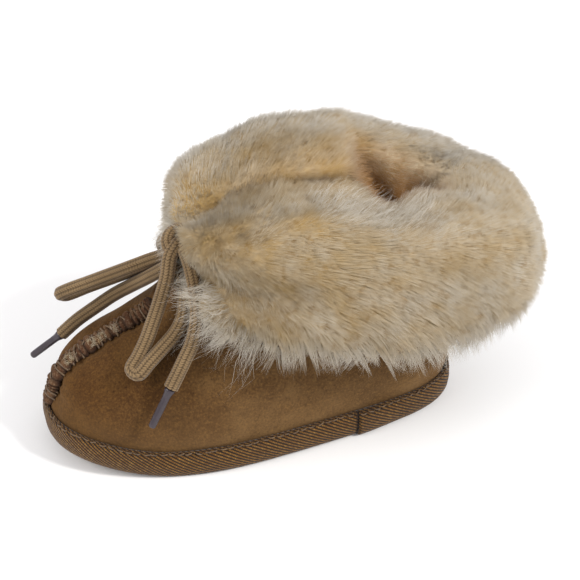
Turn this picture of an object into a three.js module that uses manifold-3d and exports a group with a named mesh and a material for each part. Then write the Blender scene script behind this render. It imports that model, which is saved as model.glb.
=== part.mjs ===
// Moccasin bootie: a baby's soft shoe of suede sheepskin.
// Two halves of skin meet in a raised seam down the middle of the vamp, and a woven tape binds them to a flat
// soft sole. The wool side is turned out round the ankle as a deep cuff, and a round lace is tied in a bow at
// the throat.
// Millimetres. +X points to the toe, +Y to the wearer's left, +Z up. The origin is on the floor, mid-sole.

import * as THREE from "three";
import { mergeVertices } from "three/addons/utils/BufferGeometryUtils.js";
import Module from "manifold-3d";

const wasm = await Module();
wasm.setup();

// Driving dimensions
const SOLE_LENGTH = 130;
const BALL_WIDTH = 60;
const HEEL_WIDTH = 49;
const TOE_SPRING = 6.5;
const SPRING_START = 30;
const SOLE_THICK = 3;
const SKIN = 2.4;
const TAPE_HEIGHT = 9;
const TAPE_THICK = 1;
const TAPE_LIP = 4.6;
const TAPE_BULGE = 0.7;
const INSOLE_THICK = 4;
const SEAM_HEIGHT = 2.6;
const SEAM_WIDTH = 4.6;
const LACE_DIAMETER = 4.2;
const GAP = 0.3;

const HALF_LENGTH = SOLE_LENGTH / 2;
const HALF_BALL = BALL_WIDTH / 2;
const HALF_HEEL = HEEL_WIDTH / 2;
const SEAM_INSET = TAPE_THICK + 0.4;
const FEATHER_Z = SOLE_THICK + GAP;

// Where along a ring its width runs from the heel's to the ball's, as shares of its length
const HEEL_SHARE = 0.22;
const BALL_SHARE = 0.7;

// Rings of the upper's outer surface, from the feather edge on the sole to the fold of the cuff.
// toe and heel are the ring's ends on the centre line, ball and heelHalf its half widths. rise lifts its
// middle, and spring is its share of the toe spring. The last row is above the skin: it shapes the wool over
// the fold.
const UPPER_RINGS = [
  { toeX: HALF_LENGTH - SEAM_INSET, toeZ: FEATHER_Z, heelX: SEAM_INSET - HALF_LENGTH, heelZ: FEATHER_Z,
    ball: HALF_BALL - SEAM_INSET, heelHalf: HALF_HEEL - SEAM_INSET, rise: 0, spring: 1, blunt: 2.5 },
  { toeX: HALF_LENGTH - SEAM_INSET, toeZ: TAPE_HEIGHT, heelX: SEAM_INSET - HALF_LENGTH, heelZ: TAPE_HEIGHT,
    ball: HALF_BALL - SEAM_INSET, heelHalf: HALF_HEEL - SEAM_INSET, rise: 0, spring: 1, blunt: 2.5 },
  { toeX: 62, toeZ: 15, heelX: -64.4, heelZ: 16,
    ball: 29.4, heelHalf: 24, rise: 0, spring: 0.8, blunt: 2.5 },
  { toeX: 59.4, toeZ: 23.4, heelX: -65, heelZ: 24,
    ball: 28.2, heelHalf: 24.4, rise: 0, spring: 0.5, blunt: 2.45 },
  { toeX: 53, toeZ: 30.6, heelX: -65, heelZ: 32,
    ball: 26.2, heelHalf: 24.2, rise: 0, spring: 0.25, blunt: 2.4 },
  { toeX: 43.4, toeZ: 36.8, heelX: -64.8, heelZ: 40,
    ball: 24.2, heelHalf: 23.8, rise: 0, spring: 0, blunt: 2.35 },
  { toeX: 33, toeZ: 42.4, heelX: -64.4, heelZ: 48,
    ball: 23, heelHalf: 23.4, rise: 1.5, spring: 0, blunt: 2.3 },
  { toeX: 27, toeZ: 50.5, heelX: -64, heelZ: 55,
    ball: 22.4, heelHalf: 23, rise: 4.5, spring: 0, blunt: 2.3 },
  { toeX: 24, toeZ: 60, heelX: -64, heelZ: 61,
    ball: 22, heelHalf: 22.6, rise: 9, spring: 0, blunt: 2.3 },
  { toeX: 22.4, toeZ: 73, heelX: -64, heelZ: 73,
    ball: 21.6, heelHalf: 22.2, rise: 11, spring: 0, blunt: 2.3 },
];
const LEVEL_FOLD = UPPER_RINGS.length - 2;
const UPPER_LEVEL_STEP = 0.5;
const UPPER_ANGLES = 40;

// The throat is a V slit at the front: its lowest point and its width at the fold
const THROAT = { z: 47, width: 14, top: 78, fromX: 8, toX: 45 };

// Wool cuff. Hem levels are where the turned-down skin ends, front and back. Thicknesses are of the standing
// pile.
const CUFF = {
  frontTopX: 20.5,
  frontHemX: 14.5,
  hemFront: 6.1,
  hemBack: 3.15,
  pileFront: 15,
  pileSide: 19,
  pileBack: 27,
  innerPile: 8,
  gap: 0.45,
  sections: 28,
};

const lerp = THREE.MathUtils.lerp;
const smooth = THREE.MathUtils.smoothstep;
const signedPower = (value, power) => Math.sign(value) * Math.abs(value) ** power;
const toeLift = (x) => TOE_SPRING * smooth(x, SPRING_START, HALF_LENGTH + 10);

// Smooth in-between value of four table rows in a line
function catmullRom(a, b, c, d, t) {
  const curve = 2 * a - 5 * b + 4 * c - d + (3 * b - a - 3 * c + d) * t;
  return b + (t / 2) * (c - a + t * curve);
}

function ringAt(level) {
  const last = UPPER_RINGS.length - 1;
  const i = THREE.MathUtils.clamp(Math.floor(level), 0, last - 1);
  const rows = [Math.max(i - 1, 0), i, i + 1, Math.min(i + 2, last)].map((k) => UPPER_RINGS[k]);
  const ring = {};
  for (const key of Object.keys(rows[0])) ring[key] = catmullRom(...rows.map((row) => row[key]), level - i);
  return ring;
}

// A point of a foot-shaped ring in plan: blunt at toe and heel, wide at the ball. Angle 0 is the toe, then
// left.
function ringPlan(ring, angle) {
  const power = 2 / ring.blunt;
  const along = (1 + signedPower(Math.cos(angle), power)) / 2;
  const half = lerp(ring.heelHalf, ring.ball, smooth(along, HEEL_SHARE, BALL_SHARE));
  return { x: lerp(ring.heelX, ring.toeX, along), y: half * signedPower(Math.sin(angle), power), along };
}

// The outer surface of the upper, and points a given distance out of it
function upperPoint(level, angle) {
  const ring = ringAt(level);
  const { x, y, along } = ringPlan(ring, angle);
  const z = lerp(ring.heelZ, ring.toeZ, along) + ring.rise * Math.sin(Math.PI * along);
  return new THREE.Vector3(x, y, z + ring.spring * toeLift(x));
}

function offsetPoint(level, angle, out) {
  const step = 0.02;
  const round = upperPoint(level, angle + step).sub(upperPoint(level, angle - step));
  const up = upperPoint(level + step, angle).sub(upperPoint(level - step, angle));
  return upperPoint(level, angle).addScaledVector(round.cross(up).normalize(), out);
}

// Meshes to solids and back
function solidOf(points, triangles) {
  const vertProperties = new Float32Array(points.flatMap((p) => [p.x, p.y, p.z]));
  const make = (order) =>
    new wasm.Manifold(new wasm.Mesh({ numProp: 3, vertProperties, triVerts: new Uint32Array(order.flat()) }));
  const solid = make(triangles);
  return solid.volume() > 0 ? solid : make(triangles.map(([a, b, c]) => [a, c, b]));
}

function solidOfGeometry(geometry) {
  const bare = new THREE.BufferGeometry().setAttribute("position", geometry.getAttribute("position"));
  if (geometry.index) bare.setIndex(geometry.index);
  const merged = mergeVertices(bare, 1e-4);
  const at = merged.getAttribute("position");
  const points = Array.from({ length: at.count }, (_, i) => new THREE.Vector3().fromBufferAttribute(at, i));
  const order = Array.from(merged.index.array);
  const triangles = Array.from({ length: order.length / 3 }, (_, i) => order.slice(3 * i, 3 * i + 3));
  return solidOf(points, triangles);
}

function geometryOf(solid) {
  const mesh = solid.getMesh();
  const geometry = new THREE.BufferGeometry();
  geometry.setAttribute("position", new THREE.BufferAttribute(new Float32Array(mesh.vertProperties), 3));
  geometry.setIndex(new THREE.BufferAttribute(new Uint32Array(mesh.triVerts), 1));
  geometry.computeVertexNormals();
  return geometry;
}

// A solid through closed sections of equal count. Each is a list of points, and an open run is capped by
// the triangles of its flat outline.
function loft(sections, flatOutline) {
  const count = sections[0].length;
  const points = sections.flat();
  const triangles = [];
  const runs = flatOutline ? sections.length - 1 : sections.length;
  for (let i = 0; i < runs; i++) {
    const next = (i + 1) % sections.length;
    for (let j = 0; j < count; j++) {
      const k = (j + 1) % count;
      const [a, b, c, d] = [i * count + j, i * count + k, next * count + k, next * count + j];
      triangles.push([a, b, c], [a, c, d]);
    }
  }
  if (flatOutline) {
    const end = (sections.length - 1) * count;
    const clockwise = THREE.ShapeUtils.isClockWise(flatOutline);
    for (const [a, b, c] of THREE.ShapeUtils.triangulateShape(flatOutline, [])) {
      const [p, q] = clockwise ? [c, a] : [a, c];
      triangles.push([q, b, p], [end + p, end + b, end + q]);
    }
  }
  return solidOf(points, triangles);
}

// A plate from rings stacked upwards. Each ring starts at the toe and goes round by the left, so its points
// pair up across the middle and the flat ends are strips that can bend with the toe spring.
function plate(rings) {
  const count = rings[0].length;
  const points = rings.flat();
  const triangles = [];
  for (let i = 0; i < rings.length - 1; i++) {
    for (let j = 0; j < count; j++) {
      const k = (j + 1) % count;
      const [a, b, c, d] = [i * count + j, i * count + k, (i + 1) * count + k, (i + 1) * count + j];
      triangles.push([a, b, c], [a, c, d]);
    }
  }
  const top = (rings.length - 1) * count;
  for (let j = 0; j < count / 2; j++) {
    const [left, leftNext] = [j, j + 1];
    const [right, rightNext] = [(count - j) % count, count - j - 1];
    for (const [a, b, c] of [[left, right, rightNext], [left, rightNext, leftNext]]) {
      if (a === b || b === c || a === c) continue;
      triangles.push([a, b, c], [top + c, top + b, top + a]);
    }
  }
  return solidOf(points, triangles);
}

const angles = (count) => Array.from({ length: count }, (_, i) => (2 * Math.PI * i) / count);

// Outline of the sole over the tape, moved inwards
const SOLE_RING = {
  toeX: HALF_LENGTH, heelX: -HALF_LENGTH, ball: HALF_BALL, heelHalf: HALF_HEEL, blunt: UPPER_RINGS[0].blunt,
};

function outlinePoint(angle, inset, z) {
  const at = (turn) => new THREE.Vector2().copy(ringPlan(SOLE_RING, turn));
  const along = at(angle + 0.02).sub(at(angle - 0.02)).normalize();
  const point = at(angle).addScaledVector(new THREE.Vector2(along.y, -along.x), -inset);
  return new THREE.Vector3(point.x, point.y, z + toeLift(point.x));
}

const outlineRing = (inset, z, count) => angles(count).map((angle) => outlinePoint(angle, inset, z));

// Soft suede sole with a rebate all round for the lip of the binding tape
function makeOutsole() {
  const count = 48;
  const rebate = TAPE_LIP + GAP;
  const rebateZ = TAPE_THICK + GAP;
  return plate([
    outlineRing(rebate, 0, count),
    outlineRing(rebate, rebateZ, count),
    outlineRing(SEAM_INSET, rebateZ, count),
    outlineRing(SEAM_INSET, SOLE_THICK, count),
  ]);
}

// Wool insole, inside the upper's wall
function makeInsole() {
  const count = 40;
  const inset = SEAM_INSET + SKIN + 2 * GAP;
  const top = FEATHER_Z + INSOLE_THICK;
  return plate([
    outlineRing(inset, FEATHER_Z, count),
    outlineRing(inset, top - 1.2, count),
    outlineRing(inset + 1.6, top, count),
  ]);
}

// Binding tape: an L round the feather edge. It starts and ends on the left, where its turned-in end laps
// over.
const TAPE_JOINT = { angle: 1.92, proud: 1.3, fade: 0.3 };

function tapeSection(angle, extra) {
  const wall = [
    [TAPE_THICK, TAPE_HEIGHT + 0.2],
    [0.35 - extra * 0.5, TAPE_HEIGHT + 0.2],
    [-TAPE_BULGE * 0.6 - extra, TAPE_HEIGHT * 0.78],
    [-TAPE_BULGE - extra, TAPE_HEIGHT * 0.5],
    [-TAPE_BULGE * 0.6 - extra, TAPE_HEIGHT * 0.24],
    [0.5 - extra * 0.6, 0.35],
    [1.6, 0],
    [TAPE_LIP, 0],
    [TAPE_LIP, TAPE_THICK],
    [1.3, TAPE_THICK],
    [TAPE_THICK, TAPE_THICK + 1.2],
  ];
  return wall.map(([inset, z]) => outlinePoint(angle, inset, z));
}

function makeBindingTape() {
  const { angle, proud, fade } = TAPE_JOINT;
  const spread = angles(52).filter((turn) => Math.abs(turn - angle) > 0.05);
  const stations = [...spread, angle - 0.008, angle + 0.008].sort((a, b) => a - b);
  const lap = (turn) => (turn < angle ? 0 : proud * (1 - smooth(turn, angle, angle + fade)));
  return loft(stations.map((turn) => tapeSection(turn, lap(turn))));
}

// The upper: one wall of skin, open underneath, at the collar and at the throat, with a hole each side for
// the lace
const LACE_HOLE = { y: 10.4, z: 56, radius: LACE_DIAMETER / 2 + 1 };

function wallSection(angle) {
  const levels = [];
  for (let level = 0; level <= LEVEL_FOLD; level += UPPER_LEVEL_STEP) levels.push(level);
  const outer = levels.map((level) => upperPoint(level, angle));
  const inner = levels.map((level) => offsetPoint(level, angle, -SKIN));
  inner[0].z = outer[0].z;
  return [...outer, ...inner.reverse()];
}

function throatWedge() {
  const half = THROAT.width / 2;
  const rise = THROAT.top - THROAT.z;
  const v = new THREE.Shape();
  v.moveTo(-1, THROAT.z);
  v.absarc(0, THROAT.z, 1, Math.PI, 2 * Math.PI);
  v.lineTo(half, THROAT.z + rise * 0.45);
  v.lineTo(half, THROAT.top);
  v.lineTo(-half, THROAT.top);
  v.lineTo(-half, THROAT.z + rise * 0.45);
  const geometry = new THREE.ExtrudeGeometry(v, {
    depth: THROAT.toX - THROAT.fromX, bevelEnabled: false, curveSegments: 3,
  });
  geometry.rotateX(Math.PI / 2).rotateZ(Math.PI / 2).translate(THROAT.fromX, 0, 0);
  return solidOfGeometry(geometry);
}

function laceHole(side) {
  const geometry = new THREE.CylinderGeometry(LACE_HOLE.radius, LACE_HOLE.radius, 24, 12);
  geometry.rotateZ(Math.PI / 2).translate(20, side * LACE_HOLE.y, LACE_HOLE.z);
  return solidOfGeometry(geometry);
}

function makeUpper() {
  const wall = loft(angles(UPPER_ANGLES).map(wallSection));
  return wall.subtract(throatWedge()).subtract(laceHole(1)).subtract(laceHole(-1));
}

// Raised seam down the middle of the vamp: both edges of skin stand up together, whipped over with thread,
// and gather into small swellings between the stitches
const SEAM = { from: 1.15, to: 6.3, sections: 46, gathers: 15, gatherHeight: 0.35 };

function seamSection(share) {
  const level = lerp(SEAM.from, SEAM.to, share);
  const base = upperPoint(level, 0);
  const outward = offsetPoint(level, 0, 1).sub(base);
  const swell = SEAM.gatherHeight * Math.sin(2 * Math.PI * SEAM.gathers * share);
  const height = SEAM_HEIGHT + swell;
  const half = SEAM_WIDTH / 2;
  const profile = [[1, 0], [0.92, 0.55], [0.55, 0.9], [0, 1], [-0.55, 0.9], [-0.92, 0.55], [-1, 0]];
  const flat = profile.map(([y, h]) => new THREE.Vector2(y * half, GAP + h * (height - GAP)));
  return { flat, points: flat.map(({ x, y }) => base.clone().addScaledVector(outward, y).setY(x)) };
}

function makeToeSeam() {
  const sections = Array.from({ length: SEAM.sections }, (_, i) => seamSection(i / (SEAM.sections - 1)));
  return loft(sections.map((s) => s.points), sections[0].flat);
}

// Lace: round braid through a hole each side of the throat, tied in a bow that lies to the left and the
// front.
// Routes are the middle line of each run, from the knot outwards.
const LACE_RADIUS = LACE_DIAMETER / 2;
const KNOT = { x: 23, y: 0.5, z: 65, core: 4.6, wrapRadius: 3.6 };
const LACE_ROUTES = {
  lace_bar_left: [[17, 10.4, 56], [21, 10.4, 56], [24.3, 10.2, 56.9], [24.9, 8.5, 60.4], [23.9, 5.3, 62.8]],
  lace_bar_right: [[17, -10.4, 56], [21, -10.4, 56], [24.3, -10.2, 56.9], [24.8, -8, 61]],
  lace_loop_left: [
    [26.8, 9.6, 66.4], [28.4, 11.9, 61.4], [30.4, 12.7, 55.4], [33.1, 14, 48.9], [36, 15.9, 43.2],
    [38.9, 17.6, 38.9], [41.2, 19.2, 36.2], [39.8, 21.2, 35.6], [36.2, 20.4, 38.6], [31.8, 18.8, 41.8],
    [28, 17.6, 45], [25.4, 16.4, 48.6], [24.2, 14.8, 52],
  ],
  lace_loop_right: [
    [25.7, -3.1, 59.2], [30.5, -5.2, 56.5], [35.4, -6.5, 54.3], [40.4, -9.6, 50.9], [48.2, -13, 46.6],
    [53.2, -15, 44], [55.5, -17.2, 41.6], [53.5, -19.2, 39.7], [47.4, -17.4, 42.6], [39.8, -14.2, 46.7],
    [34.4, -11.4, 50], [29.2, -9, 53.1],
  ],
  lace_end_left: [
    [22.8, 8.6, 68.2], [22, 13, 65], [21.6, 18, 58.4], [22.2, 21.5, 51.3], [24.2, 23, 44.6],
    [26.9, 24.6, 40.4], [29.4, 26, 36.6], [31.6, 26.9, 33.1],
  ],
  lace_end_right: [
    [26.5, 1.5, 57.7], [30.6, -2.8, 52.6], [35.2, -8.2, 46.8], [40.2, -12, 41.8], [45.6, -14.2, 36.9],
    [51.3, -16.4, 31.6], [56.2, -18, 26.3],
  ],
};
const LACE_STEPS = {
  lace_bar_left: 8,
  lace_bar_right: 8,
  lace_loop_left: 20,
  lace_loop_right: 20,
  lace_end_left: 10,
  lace_end_right: 10,
};
const AGLETS = {
  aglet_left: { from: [31.6, 26.9, 33.1], to: [38.1, 28.8, 21.6] },
  aglet_right: { from: [56.2, -18, 26.3], to: [65.7, -21, 17.6] },
};
const AGLET_RADIUS = 1.2;

function tube(points, radius, steps) {
  const path = new THREE.CatmullRomCurve3(points);
  const disc = new THREE.Shape().absarc(0, 0, radius, 0, 2 * Math.PI);
  const geometry = new THREE.ExtrudeGeometry(disc, { extrudePath: path, steps, curveSegments: 4 });
  return solidOfGeometry(geometry);
}

const laceRoute = (name) => LACE_ROUTES[name].map((point) => new THREE.Vector3(...point));

const makeLaceRun = (name) => tube(laceRoute(name), LACE_RADIUS, LACE_STEPS[name]);

function makeAglet(name) {
  const from = new THREE.Vector3(...AGLETS[name].from);
  const to = new THREE.Vector3(...AGLETS[name].to);
  const start = from.clone().addScaledVector(to.clone().sub(from).normalize(), GAP);
  return tube([start, to], AGLET_RADIUS, 2);
}

function makeLaceKnot() {
  const core = new THREE.SphereGeometry(KNOT.core, 10, 6).translate(KNOT.x, KNOT.y, KNOT.z);
  const wrap = new THREE.TorusGeometry(KNOT.wrapRadius, LACE_RADIUS, 8, 14);
  wrap.rotateX(Math.PI / 2).translate(KNOT.x, KNOT.y, KNOT.z);
  return solidOfGeometry(core).add(solidOfGeometry(wrap));
}

// Wool cuff: a saddle of standing pile over the fold, long outside and short inside, open at the front
const PILE_OUTSIDE = [
  { below: 1.05, above: 0, out: 0.2 },
  { below: 1.02, above: 0, out: 0.5 },
  { below: 0.88, above: 0, out: 0.78 },
  { below: 0.62, above: 0, out: 0.97 },
  { below: 0.34, above: 0, out: 1.0 },
  { below: 0.08, above: 0, out: 0.95 },
  { below: 0, above: 0.4, out: 0.84 },
  { below: 0, above: 0.85, out: 0.58 },
  { below: 0, above: 1.12, out: 0.22 },
];
const PILE_INSIDE = [
  { above: 1.12, out: -0.2 },
  { above: 0.85, out: -0.6 },
  { above: 0.3, out: -0.9 },
  { above: -0.5, out: -1.0 },
  { above: -1.2, out: -0.85 },
  { above: -1.6, out: -0.4 },
];
const WALL_STEPS = 5;

// How the cuff runs from its left front edge (share 0) round the heel to its right front edge (share 1)
function cuffPlace(share) {
  const back = Math.sin(Math.PI * share);
  const edge = Math.min(share, 1 - share);
  const round = lerp(0.45, 1, smooth(edge, 0, 0.07));
  const pile = back < 0.75
    ? lerp(CUFF.pileFront, CUFF.pileSide, smooth(back, 0, 0.45))
    : lerp(CUFF.pileSide, CUFF.pileBack, smooth(back, 0.75, 1));
  return { hem: lerp(CUFF.hemFront, CUFF.hemBack, back), pile: pile * round, round };
}

function cuffAngle(level, share) {
  const ring = ringAt(level);
  const frontX = lerp(CUFF.frontHemX, CUFF.frontTopX, smooth(level, CUFF.hemFront, LEVEL_FOLD));
  const along = (frontX - ring.heelX) / (ring.toeX - ring.heelX);
  const edge = Math.acos(Math.min(1, signedPower(2 * along - 1, ring.blunt / 2)));
  return lerp(edge, 2 * Math.PI - edge, share);
}

const cuffPoint = (level, share, out) => offsetPoint(level, cuffAngle(level, share), out);

function cuffSection(share) {
  const { hem, pile, round } = cuffPlace(share);
  const drop = LEVEL_FOLD - hem;
  const skinSide = -SKIN - CUFF.gap;
  const outside = PILE_OUTSIDE.map(({ below, above, out }) => [
    LEVEL_FOLD - drop * below + above * round,
    out * pile,
  ]);
  const inside = PILE_INSIDE.map(({ above, out }) => [
    LEVEL_FOLD + above * (above > 0 ? round : 1),
    out < -0.3 ? skinSide + out * CUFF.innerPile * round : out * CUFF.innerPile,
  ]);
  const up = [-1.6, -0.8, 0, 0.05].map((above) => [LEVEL_FOLD + above, skinSide]);
  const down = Array.from({ length: WALL_STEPS + 1 }, (_, i) => [
    LEVEL_FOLD - (drop * i) / WALL_STEPS,
    CUFF.gap,
  ]);
  const over = [[LEVEL_FOLD + 0.05, CUFF.gap]];
  const pairs = [...outside, ...inside, ...up, ...over, ...down];
  return {
    points: pairs.map(([level, out]) => cuffPoint(level, share, out)),
    flat: pairs.map(([level, out]) => new THREE.Vector2(level * 9, out)),
  };
}

// Locks of wool that stand out of the cuff, in rows from the hem to the crest. below is the root's place
// under the fold as a share of the cuff's drop, or levels over the fold if negative. fall is how many levels
// the tip hangs. out and tipOut are shares of the pile's thickness.
const LOCK_ROWS = [
  { count: 22, below: 0.95, fall: 0.95, out: 0.4, tipOut: 0.36, radius: 2.8 },
  { count: 20, below: 0.88, fall: 0.95, out: 0.66, tipOut: 0.76, radius: 3.4 },
  { count: 13, below: 0.55, fall: 1.1, out: 0.76, tipOut: 1.03, radius: 5 },
  { count: 12, below: 0.3, fall: 1, out: 0.8, tipOut: 1.06, radius: 5 },
  { count: 11, below: 0.05, fall: 0.8, out: 0.78, tipOut: 1.08, radius: 5 },
  { count: 11, below: -0.5, fall: 0.1, out: 0.6, tipOut: 0.98, radius: 4.6 },
  { count: 10, below: -0.86, fall: -0.24, out: 0.24, tipOut: 0.62, radius: 4.6 },
];
const LOCK_SIDES = 4;

// Even scatter between -1 and 1 that is the same on every build
const scatter = (index, row) => (Math.sin(index * 12.9898 + row * 78.233) * 43758.5453) % 1;

function lockSolid(root, tip, radius) {
  const spine = tip.clone().sub(root).normalize();
  const across = new THREE.Vector3(0, 0, 1).cross(spine).normalize();
  const third = spine.clone().cross(across);
  const ring = (share, size) => angles(LOCK_SIDES).map((turn) => root.clone().lerp(tip, share)
    .addScaledVector(across, size * Math.cos(turn))
    .addScaledVector(third, size * Math.sin(turn)));
  const points = [...ring(0, radius), ...ring(0.55, radius * 0.72), root, tip];
  const triangles = [];
  for (let i = 0; i < LOCK_SIDES; i++) {
    const j = (i + 1) % LOCK_SIDES;
    const [a, b, c, d] = [i, j, LOCK_SIDES + j, LOCK_SIDES + i];
    triangles.push([a, b, c], [a, c, d], [d, c, 2 * LOCK_SIDES + 1], [b, a, 2 * LOCK_SIDES]);
  }
  return solidOf(points, triangles);
}

function locksOfRow(row, rowIndex) {
  return Array.from({ length: row.count }, (_, i) => {
    const share = lerp(0.035, 0.965, (i + 0.5 + 0.25 * scatter(i, rowIndex)) / row.count);
    const { hem, pile } = cuffPlace(share);
    const level = LEVEL_FOLD - row.below * (row.below > 0 ? LEVEL_FOLD - hem : 1);
    const tipLevel = level - row.fall * (1 + 0.25 * scatter(i, rowIndex + 9));
    const radius = row.radius * (1 + 0.2 * scatter(i, rowIndex + 5));
    const root = cuffPoint(level, share, Math.max(row.out * pile, radius + 1));
    const tip = cuffPoint(tipLevel, share, Math.max(row.tipOut * pile, radius));
    return lockSolid(root, tip, radius);
  });
}

function makeFurCuff() {
  const sections = Array.from({ length: CUFF.sections }, (_, i) => cuffSection(i / (CUFF.sections - 1)));
  const saddle = loft(sections.map((s) => s.points), sections[0].flat);
  const wool = wasm.Manifold.union([saddle, ...LOCK_ROWS.flatMap(locksOfRow)]);
  return Object.keys(LACE_ROUTES).reduce((left, name) => left.subtract(laceBed(name)), wool);
}

// The lace beds into the wool it lies against: its run, a little thicker and longer
function laceBed(name) {
  const route = laceRoute(name);
  const ends = [[0, 1], [route.length - 1, route.length - 2]];
  for (const [end, next] of ends) {
    const away = route[end].clone().sub(route[next]).normalize();
    route[end].addScaledVector(away, 2 * GAP);
  }
  return tube(route, LACE_RADIUS + 1.5 * GAP, LACE_STEPS[name]);
}

// Colours and finishes
const finish = (color, roughness) => new THREE.MeshStandardMaterial({ color, roughness, metalness: 0 });
const SUEDE = finish(0x6c5236, 0.95);
const SOLE_SUEDE = finish(0x5b4430, 0.95);
const TAPE = finish(0x684e35, 0.85);
const WOOL = finish(0xc0ae8c, 0.95);
const SEAM_SKIN = finish(0x5a3f2a, 0.8);
const BRAID = finish(0x816f57, 0.8);
const AGLET_PLASTIC = finish(0x524147, 0.3);

const bootie = new THREE.Group();

function addPiece(name, solid, material) {
  const mesh = new THREE.Mesh(geometryOf(solid), material);
  mesh.name = name;
  bootie.add(mesh);
}

addPiece("outsole", makeOutsole(), SOLE_SUEDE);
addPiece("insole", makeInsole(), WOOL);
addPiece("binding_tape", makeBindingTape(), TAPE);
addPiece("upper", makeUpper(), SUEDE);
addPiece("toe_seam", makeToeSeam(), SEAM_SKIN);
addPiece("fur_cuff", makeFurCuff(), WOOL);
addPiece("lace_knot", makeLaceKnot(), BRAID);
for (const name of Object.keys(LACE_ROUTES)) addPiece(name, makeLaceRun(name), BRAID);
for (const name of Object.keys(AGLETS)) addPiece(name, makeAglet(name), AGLET_PLASTIC);

export default bootie;
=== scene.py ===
"""A baby's moccasin bootie of suede sheepskin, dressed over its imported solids.

Sizes are in millimetres in the shoe's own frame: +X to the toe, +Y to the wearer's left, +Z up.
"""
import math

import bpy
import numpy as np
from mathutils import Matrix, Vector, noise


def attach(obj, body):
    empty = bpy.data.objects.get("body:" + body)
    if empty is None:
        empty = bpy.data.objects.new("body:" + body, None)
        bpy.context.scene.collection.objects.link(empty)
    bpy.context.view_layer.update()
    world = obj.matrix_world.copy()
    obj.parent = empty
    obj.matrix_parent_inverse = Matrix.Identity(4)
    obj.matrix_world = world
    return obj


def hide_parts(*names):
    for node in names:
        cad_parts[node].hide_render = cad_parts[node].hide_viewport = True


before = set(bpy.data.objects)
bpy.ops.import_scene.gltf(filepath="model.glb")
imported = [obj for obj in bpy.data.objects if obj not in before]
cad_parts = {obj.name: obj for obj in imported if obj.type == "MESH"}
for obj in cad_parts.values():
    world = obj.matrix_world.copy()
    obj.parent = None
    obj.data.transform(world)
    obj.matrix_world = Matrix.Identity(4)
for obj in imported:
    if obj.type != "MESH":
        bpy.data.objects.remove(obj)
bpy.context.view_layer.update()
MM = 0.001


# Camera
# It stands in front of the shoe's left side, a little to the toe's side of square, and looks down on it
# through a long lens that is turned by about a degree.
view_turn, view_rise, view_roll = np.radians([17.286, 33.43, -0.983])
view_distance = 450
view_aim = (11.465, 36.898)
focal_length = 87.22

back = Vector((
    math.sin(view_turn) * math.cos(view_rise),
    math.cos(view_turn) * math.cos(view_rise),
    math.sin(view_rise),
))
level_right = Vector((-math.cos(view_turn), math.sin(view_turn), 0))
level_up = back.cross(level_right)
picture_right = level_right * math.cos(view_roll) - level_up * math.sin(view_roll)
picture_up = level_right * math.sin(view_roll) + level_up * math.cos(view_roll)
aim = level_right * view_aim[0] + level_up * view_aim[1]
stand = (aim + back * view_distance) * MM

camera_data = bpy.data.cameras.new("camera")
camera_data.lens = focal_length
camera_data.sensor_width = 36
camera_data.clip_start = 0.01
camera = bpy.data.objects.new("camera", camera_data)
facing = Matrix((picture_right, picture_up, back)).transposed().to_4x4()
camera.matrix_world = Matrix.Translation(stand) @ facing
bpy.context.collection.objects.link(camera)
bpy.context.scene.camera = camera


# Lace
# A round knitted cord of tan cotton, eight columns of stitches round. It goes through a hole on each side of
# the throat and is tied in a bow whose loops and ends hang over the vamp.
LACE_DIAMETER = 4.2
LACE_STEP = 0.22
LACE_SIDES = 32
STITCH_COLUMNS = 8
STITCH_LENGTH = 0.8
STITCH_SLANT = 0.6
GROOVE_DEPTH = 0.17
STITCH_DEPTH = 0.14
THREAD_PROUD = 0.1
# How much painted shade darkens the lace between its columns and between its stitches
COLUMN_SHADE, STITCH_SHADE = 0.55, 0.8
AGLET_SIDES = 24

# Points along the lace's runs. All but the bars start inside the knot, and all but the ends go back into it.
LACE_BARS = {
    "lace_bar_left": [
        [17, 10.4, 56], [21, 10.4, 56], [24.3, 10.2, 56.9], [24.9, 8.5, 60.4], [23.9, 5.3, 62.8],
        [22.8, 2.5, 64],
    ],
    "lace_bar_right": [
        [17, -10.4, 56], [21, -10.4, 56], [24.3, -10.2, 56.9], [24.8, -8, 61], [23.2, -4.2, 63.8],
        [22.6, -1, 65],
    ],
}
LACE_LOOPS = {
    "lace_loop_left": [
        [22.5, 2.5, 66], [24.3, 7.4, 68.4], [26.8, 9.6, 66.4], [28.4, 11.9, 61.4], [30.4, 12.7, 55.4],
        [33.1, 14, 48.9], [36, 15.9, 43.2], [38.9, 17.6, 38.9], [41.2, 19.2, 36.2], [39.8, 21.2, 35.6],
        [36.2, 20.4, 38.6], [31.8, 18.8, 41.8], [28, 17.6, 45], [25.4, 16.4, 48.6], [24.2, 14.8, 52],
        [23, 9.5, 58.5], [22.5, 4, 63],
    ],
    "lace_loop_right": [
        [23, -1, 64], [25.7, -3.1, 59.2], [30.5, -5.2, 56.5], [35.4, -6.5, 54.3], [40.4, -9.6, 50.9],
        [48.2, -13, 46.6], [53.2, -15, 44], [55.5, -17.2, 41.6], [53.5, -19.2, 39.7], [47.4, -17.4, 42.6],
        [39.8, -14.2, 46.7], [34.4, -11.4, 50], [29.2, -9, 53.1], [25.5, -6.5, 56.5],
    ],
}
LACE_ENDS = {
    "lace_end_left": [
        [22.6, 3, 66.5], [22.8, 8.6, 68.2], [22, 13, 65], [21.6, 18, 58.4], [22.2, 21.5, 51.3],
        [24.2, 23, 44.6], [26.9, 24.6, 40.4], [29.4, 26, 36.6], [31.6, 26.9, 33.1],
    ],
    "lace_end_right": [
        [24, 3, 61.5], [26.5, 1.5, 57.7], [30.6, -2.8, 52.6], [35.2, -8.2, 46.8], [40.2, -12, 41.8],
        [45.6, -14.2, 36.9], [51.3, -16.4, 31.6], [56.2, -18, 26.3],
    ],
}
AGLET_TIPS = {"aglet_left": [38.1, 28.8, 21.6], "aglet_right": [65.7, -21, 17.6]}


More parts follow.
